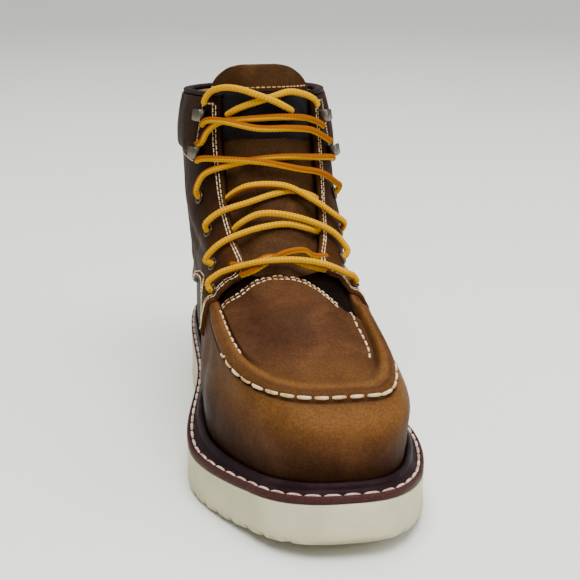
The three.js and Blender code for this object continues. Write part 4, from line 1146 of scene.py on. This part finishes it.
def make_quarter():
    ways = spread(*QUARTER_COLUMNS)
    u, v, from_front, c = quarter_grid(spread(*QUARTER_ROWS), np.r_[-ways[::-1], ways[1:]])
    base, normal = skin(u, v), skin_normal(u, v)
    y, z = base[..., 1], base[..., 2]
    from_low = np.abs(z - z[0])
    full = np.minimum(edge_rise(from_front), edge_rise(from_low + 0.02))
    pad = step(PAD_LOW - 0.04, PAD_LOW + 0.06, v) * (1 - step(0.985, 1.01, c))
    seam = np.maximum(bell(v, PAD_LOW, 0.09) * (1 - step(1, 1.03, c)),
                      bell(c, 1, 0.022) * step(PAD_LOW - 0.1, PAD_LOW, v))
    ease = step(0, 6, from_front) * step(0, 6, from_low)
    worn = (creased(ANKLE_CREASES, z, y) * ease - 0.5 * seam) * (1 - pad)
    out = GAP + np.where(full >= 1, OVERLAY * (1 - 0.75 * pad) + worn, OVERLAY * full)
    outer, inner = base + normal * out[..., None], base + normal * (0.2 * GAP)
    quarter = shell("quarter_panel", outer, inner, SHAFT, "quarter", "shaft")

    # Painted highlights along the rounded cut edges and in a band at mid height; painted shade towards the
    # top and on both sides where they turn from the light.
    light = 0.3 * bell(from_front, 0.6, 0.9) + 0.15 * bell(from_low, 1, 1.5)
    light += 0.3 * bell(z, 96, 22) * (y < 60)
    inward = normal[..., 0]
    painted_shade = 0.5 * step(130, 165, z) + 0.4 * step(0.3, 0.9, -inward) + 0.3 * step(0.5, 0.95, inward)
    for name, values in (("painted_highlight", light), ("shade", np.clip(painted_shade, 0, 0.95))):
        set_values(quarter, name, [values, values])
    return quarter


quarter = make_quarter()


# Collar pad and its binding

PAD_UP = [0, 0.09, 0.35, 0.75, 1]
PAD_THICK = [0.45, 0.86, 1, 0.8, 0.5]
PAD_COLUMNS = [(-1, -0.9, 8), (-0.9, 0.9, 120), (0.9, 1, 8)]
PAD_ROWS = [(0, 0.12, 8), (0.12, 0.92, 22), (0.92, 1, 5)]
PAD_RUN = 110
BINDING_STATIONS = 320
BINDING_TURNS = 16
BINDING_SQUARE = 0.75


def make_collar():
    w, up = np.meshgrid(spread(*PAD_COLUMNS), spread(*PAD_ROWS))
    side = np.where(w < 0, 1, -1)
    v = PAD_LOW + (COLLAR - PAD_LOW) * up
    u = side * (1 - (1 - up_levels(PAD_SEAM, v, side)) * np.abs(w))
    base, normal = skin(u, v), skin_normal(u, v)
    thick = COLLAR_PAD * smooth(PAD_UP, PAD_THICK, up) * (1 - 0.62 * np.abs(w) ** 22)
    run = w * PAD_RUN
    pucker = 0.35 * np.sin(run * 0.62 + 3 * np.sin(run * 0.11)) * bell(up, 0.05, 0.22)
    pucker += 0.3 * np.sin(run * 0.35) * bell(up, 0.9, 0.25)
    outer = base + normal * (GAP + 0.55 + thick + pucker)[..., None]
    collar = shell("collar_pad", outer, base + normal * (GAP + 0.4), COLLAR_LEATHER, "collar", "collar")


def make_binding():
    inner_end, outer_end = (float(front_edge(COLLAR, side)) for side in (1, -1))
    u = np.linspace(inner_end, 2 - outer_end, BINDING_STATIONS)
    u = np.where(u > 1, u - 2, u)
    base, normal = skin(u, COLLAR), skin_normal(u, COLLAR)
    middle, half = (GAP + OVERLAY - WALL) / 2, (GAP + OVERLAY + WALL) / 2
    uneven = 0.12 * np.sin(np.arange(BINDING_STATIONS) * 1.1)
    rings = []
    for turn in np.linspace(0, 2 * np.pi, BINDING_TURNS, endpoint=False):
        out, up = (math.copysign(abs(x) ** BINDING_SQUARE, x) for x in (math.cos(turn), math.sin(turn)))
        spots = base + normal * (middle + half * out)
        spots[:, 2] += 1.5 * GAP + BINDING_HEIGHT * (0.45 + 0.55 * up) + uneven
        rings.append(spots)
    ids = numbers(BINDING_TURNS, BINDING_STATIONS)
    faces = quads(ids, around=False, along=True) + [ids[:, 0].tolist(), ids[::-1, -1].tolist()]
    new_object("binding_rim", rings, faces, BINDING_LEATHER, "collar_binding", "binding")


make_collar()
make_binding()


# Tongue

TONGUE_ROWS = [(6.5, 9.9, 40), (9.9, 11.3, 44), (11.3, 12.1, 14), (12.1, 12.4, 10), (12.4, 12.9, 14),
               (12.9, 13, 8)]
TONGUE_COLUMNS = 61
WIDTH_LEVELS = [6.5, 8, 11, 12, 12.3, 12.6, 12.85, 13]
WIDTH_SHARES = [1.3, 1.5, 1.5, 1.42, 1.32, 1.04, 0.68, 0.34]
LEAN_LEVELS = [9, 12, 13]
LEAN_SHARES = [0, -0.03, -0.034]
CLOTH_FROM = 11.12
CLOTH_TO = 12.18
ARCH_BOW = 0.3
RIM_LEAST = 0.12


def tongue_place(w, v):
    """Where the tongue's front lies round the boot, and how far out from its skin."""
    wide = smooth(WIDTH_LEVELS, WIDTH_SHARES, v)
    u = w * wide * throat_edge(v, np.where(w < 0, -1, 1)) + smooth(LEAN_LEVELS, LEAN_SHARES, v)
    swell = TONGUE_SWELL * step(7.2, 8.6, v) * (1 - step(0.35, 0.95, np.abs(w) * wide))
    return u, swell - WALL - 2 * GAP


def make_tongue():
    rows = spread(*TONGUE_ROWS)
    w, v = np.meshgrid(np.linspace(-1, 1, TONGUE_COLUMNS), rows)
    u, out = tongue_place(w, v)
    base, normal = skin(u, v), skin_normal(u, v)
    arch = v + ARCH_BOW * w * w
    drop = 0.6 * bell(arch, CLOTH_FROM, 0.05) - 0.45 * step(CLOTH_FROM, CLOTH_FROM + 0.05, arch)
    drop += 0.5 * bell(arch, 10.06, 0.09) - 0.5 * bell(arch, 10.24, 0.12) - 0.4 * bell(v, 12.12, 0.05)
    crumple = 0.5 * np.sin(9 * v + 2.2 * w) * bell(v, 9.2, 1.1)
    crumple += 0.25 * np.sin(16 * v - 3 * w) * bell(v, 11.6, 0.6)
    shape = 0.45 * step(12.16, 12.2, v) - drop * (v < 12.14) + crumple * (1 - step(0.7, 0.95, np.abs(w)))
    outer = base + normal * (out + shape)[..., None]
    inner = base + normal * (out - TONGUE_THICKNESS)[..., None]
    rounded = np.maximum(edge_rise((1 - np.abs(w)) * 34, 2.5), RIM_LEAST)
    rounded = rounded * np.maximum(edge_rise((TONGUE_TOP - v) * 13, 2.2), RIM_LEAST)
    middle, half = (outer + inner) / 2, (outer - inner) / 2 * rounded[..., None]
    cell_w, cell_v = (w[:-1, :-1] + w[:-1, 1:]) / 2, (v[:-1, :-1] + v[1:, :-1]) / 2
    cloth_cells = (cell_v + ARCH_BOW * cell_w ** 2 > CLOTH_FROM) & (cell_v < CLOTH_TO)
    return shell("tongue_body", middle + half, middle - half, [TONGUE_LEATHER, LINING, CLOTH], "tongue",
                 "tongue", third=cloth_cells)


tongue = make_tongue()


# Eyelets and hooks

EYELET_OUTER = 7.4
EYELET_BORE = 4.2
EYELET_SIDES = 12
EYELET_TURNS = 32
FACE = 1.5 * GAP + OVERLAY
HOOK_WIDTH = 6.4
HOOK_REACH = 7.4
HOOK_SHEET = 0.9
HOOK_LIFT = 5.8
HOOK_TAPER = [0.22, 0.72]

# The middle of the hook's sheet from the side, and its section in shares of the width and sheet
HOOK_LINE = [
    (HOOK_REACH - 0.4, HOOK_SHEET / 2), (2.4, HOOK_SHEET / 2), (1.2, 0.9), (0.6, 2), (0.6, HOOK_LIFT - 2),
    (1.1, HOOK_LIFT - 1), (2.2, HOOK_LIFT - 0.5), (HOOK_REACH * 0.55, HOOK_LIFT - 0.35),
    (HOOK_REACH * 0.8, HOOK_LIFT + 0.17)]
HOOK_SECTION = [(0.5, 0.224), (0.47, 0.4), (-0.47, 0.4), (-0.5, 0.224),
                (-0.5, -0.224), (-0.47, -0.4), (0.47, -0.4), (0.5, -0.224)]


def seat_at(side, u, v, out):
    """A frame on the quarter's face: away from the throat, out of the leather, along the edge."""
    u = side * u
    normal = skin_normal(np.array(u), np.array(v))
    back = unit(skin(u + side * 0.01, v) - skin(u - side * 0.01, v))
    along = unit(np.cross(back, normal))
    return lifted(u, v, out), np.cross(normal, along), normal, along


def paired_name(kind, side, k):
    return f"{kind}_{'outer' if side < 0 else 'inner'}_{k // 2 + 1}"


def make_eyelets():
    bead = (EYELET_OUTER - EYELET_BORE) / 4
    profile = [(EYELET_BORE / 2 + bead * (1 + math.cos(t)), 0.3 + 0.75 * math.sin(t))
               for t in np.linspace(0, 2 * np.pi, EYELET_SIDES, endpoint=False)]
    turns = np.linspace(0, 2 * np.pi, EYELET_TURNS, endpoint=False)
    faces = quads(numbers(EYELET_TURNS, EYELET_SIDES), along=True)
    for k, (side, u, v) in enumerate(EYELETS):
        origin, x, out, along = seat_at(side, u, v, FACE - 0.25)
        points = [origin + (x * math.cos(t) + along * math.sin(t)) * r + out * h
                  for t in turns for r, h in profile]
        name = paired_name("eyelet", side, k)
        new_object("ring_" + name, points, faces, EYELET_METAL, name, "eyelet")


def make_hooks():
    line = curve_through([(a - HOOK_REACH / 2, b) for a, b in HOOK_LINE], 5)
    tangent = unit(np.gradient(line, axis=0))
    across = np.stack([-tangent[:, 1], tangent[:, 0]], -1)
    share, start = HOOK_TAPER
    drawn = np.clip((np.arange(len(line)) / len(line) - start) / (1 - start), 0, 1)
    widths = HOOK_WIDTH * (1 - share * drawn ** 3)
    ids = numbers(len(line), len(HOOK_SECTION))
    faces = quads(ids, flip=True) + [ids[0].tolist(), ids[-1, ::-1].tolist()]
    for k, (side, u, v) in enumerate(HOOKS):
        origin, x, out, along = seat_at(side, u, v, FACE - 0.1)
        points = []
        for p, n, width in zip(line, across, widths):
            for wide, thick in HOOK_SECTION:
                q = p + n * thick * HOOK_SHEET
                points.append(origin + x * q[0] + out * q[1] + along * wide * width)
        name = paired_name("hook", side, k)
        new_object("metal_" + name, points, faces, HOOK_METAL, name, "hook")


make_eyelets()
make_hooks()


# Stitches

FINE_SEWING = Sewing(3.1, 2.4, 0.85)
PLUG_SEWING = Sewing(3.1, 2.4, 0.8)
PAD_SEWING = Sewing(3.4, 2.7, 0.95)
TONGUE_SEWING = Sewing(3.0, 2.3, 0.75)
MOC_SEWING = Sewing(8.4, 7.1, 1.7)
MOC_FINE_SEWING = Sewing(5.2, 4.3, 1.15)
WELT_SEWING = Sewing(9, 8.3, 1.5)
BARTACK = Sewing(7, 7, 1.3)

# Lines start this far off the skin, in millimetres, and fall onto the leather
LINE_LIFT = 3.0

# The moc seam's rows, as (place round the boot, height in levels)
MOC_OUTER = [(-0.25, 2.86), (-0.212, 2.9), (-0.162, 2.92), (-0.1, 2.94), (-0.04, 2.94), (0.024, 2.94),
             (0.078, 2.93), (0.12, 2.92), (0.16, 2.9)]
MOC_INNER_OUT = [(-0.3, 4.3), (-0.26, 4.2), (-0.226, 4.14), (-0.2, 4.1), (-0.174, 4.07)]
MOC_INNER_IN = [(0.196, 4.8), (0.15, 4.5), (0.116, 4.33), (0.082, 4.28)]

on_upper, on_quarter, on_tongue = map(surface_of, (upper, quarter, tongue))


def add_stitches(name, rows, look):
    """rows are lines of (surface, points, sewing)."""
    made = [one for row in rows for one in stitch_line(*row)]
    new_object(name, *joined(made), look, slot="thread")


def route(points):
    """A smooth line over the skin through given places."""
    rows = np.array(points)
    at = np.linspace(0, len(rows) - 1, 160)
    u, v = (smooth(np.arange(len(rows)), rows[:, k], at) for k in (0, 1))
    return lifted(u, v, LINE_LIFT)


def welt_seam():
    u = round_stations(700)
    x, y = sole_edge(u, 2.8 * ledge(u)[1]).T
    line = np.stack([x, y, welt_top(y) - 0.35], -1)
    return np.concatenate([line, line[:2]])


def plug_rows():
    """Two rows in front of the plug's rear edge, found on a fine grid of the skin."""
    places = skin(*np.meshgrid(np.linspace(-0.4, 0.3, 300), np.linspace(3.9, 6.99, 90))).reshape(-1, 3)
    x = np.linspace(-43, 20, 120)
    rows = []
    for back in (1.7, 3.9):
        nearest = [np.argmin(np.hypot(*(places[:, :2] - p).T)) for p in zip(x, plug_edge(x) - back)]
        rows.append((on_upper, resampled(places[nearest] + [0, 0, 1], 4), PLUG_SEWING))
    return rows


def beside_front(side, distance, v):
    return lifted(side * moved(front_edge(v, side), distance - OVERHANG, v, side), v, LINE_LIFT)


def above_wing(side, distance, a):
    low = wing(a)
    edge = quarter_edge(low, side)
    u = side * (edge + (1 - edge) * a)
    rise = (skin(u, low + 0.2) - skin(u, low))[:, 2] / 0.2
    return lifted(u, low + distance / rise, LINE_LIFT)


def quarter_rows(side):
    """Rows on one side: front edge, lower edge, pad seam, under the collar, heel, under the pad."""
    share = np.linspace(0, 1, 60)
    between = lambda start, end: side * (start + (end - start) * share)
    edge_v = np.linspace(wing(0) + 0.22, COLLAR - 0.1, 160)
    seam_v = np.linspace(PAD_LOW + 0.05, COLLAR - 0.12, 60)
    heel_v = np.linspace(2.5, 10, 120)
    lines = [beside_front(side, distance, edge_v) for distance in (2.4, 4.6)]
    lines += [above_wing(side, distance, np.linspace(0.02, 1, 200)) for distance in (2.2, 4.4)]
    seam = lifted(side * moved(up_levels(PAD_SEAM, seam_v, side), -2, seam_v, side), seam_v, LINE_LIFT)
    front = moved(front_edge(COLLAR, side), 2.6, COLLAR, side)
    back = moved(up_levels(PAD_SEAM, COLLAR, side), -3, COLLAR, side)
    late = [lifted(between(front, back), 11.84, LINE_LIFT),
            lifted(side * moved(1, -2.2, heel_v, side), heel_v, LINE_LIFT),
            lifted(between(up_levels(PAD_SEAM, 10.15, side), 1), 10.12, LINE_LIFT)]
    rows = [(on_quarter, line, FINE_SEWING) for line in lines] + [(on_quarter, seam, PAD_SEWING)]
    return rows + [(on_quarter, line, FINE_SEWING) for line in late]


def bartack(side):
    v = np.linspace(wing(0) + 0.12, wing(0) + 0.95, 3)
    return on_quarter, beside_front(side, 2.2, v), BARTACK


def tongue_seam():
    w, v = np.linspace(-0.93, 0.93, 90), np.full(90, 12.27)
    u, out = tongue_place(w, v)
    return lifted(u, v, out + 2)


add_stitches("moc_stitches", [
    (on_upper, route(MOC_OUTER), MOC_SEWING), (on_upper, route(MOC_INNER_OUT), MOC_FINE_SEWING),
    (on_upper, route(MOC_INNER_IN), MOC_FINE_SEWING)], THREAD)
add_stitches("welt_stitches", [(None, welt_seam(), WELT_SEWING)], WELT_THREAD)
add_stitches("plug_stitches", plug_rows(), THREAD)
add_stitches("quarter_stitches", quarter_rows(-1) + quarter_rows(1), THREAD)
add_stitches("bartack_stitches", [bartack(-1), bartack(1)], THREAD)
add_stitches("tongue_stitches", [(on_tongue, tongue_seam(), TONGUE_SEWING)], TAN_THREAD)
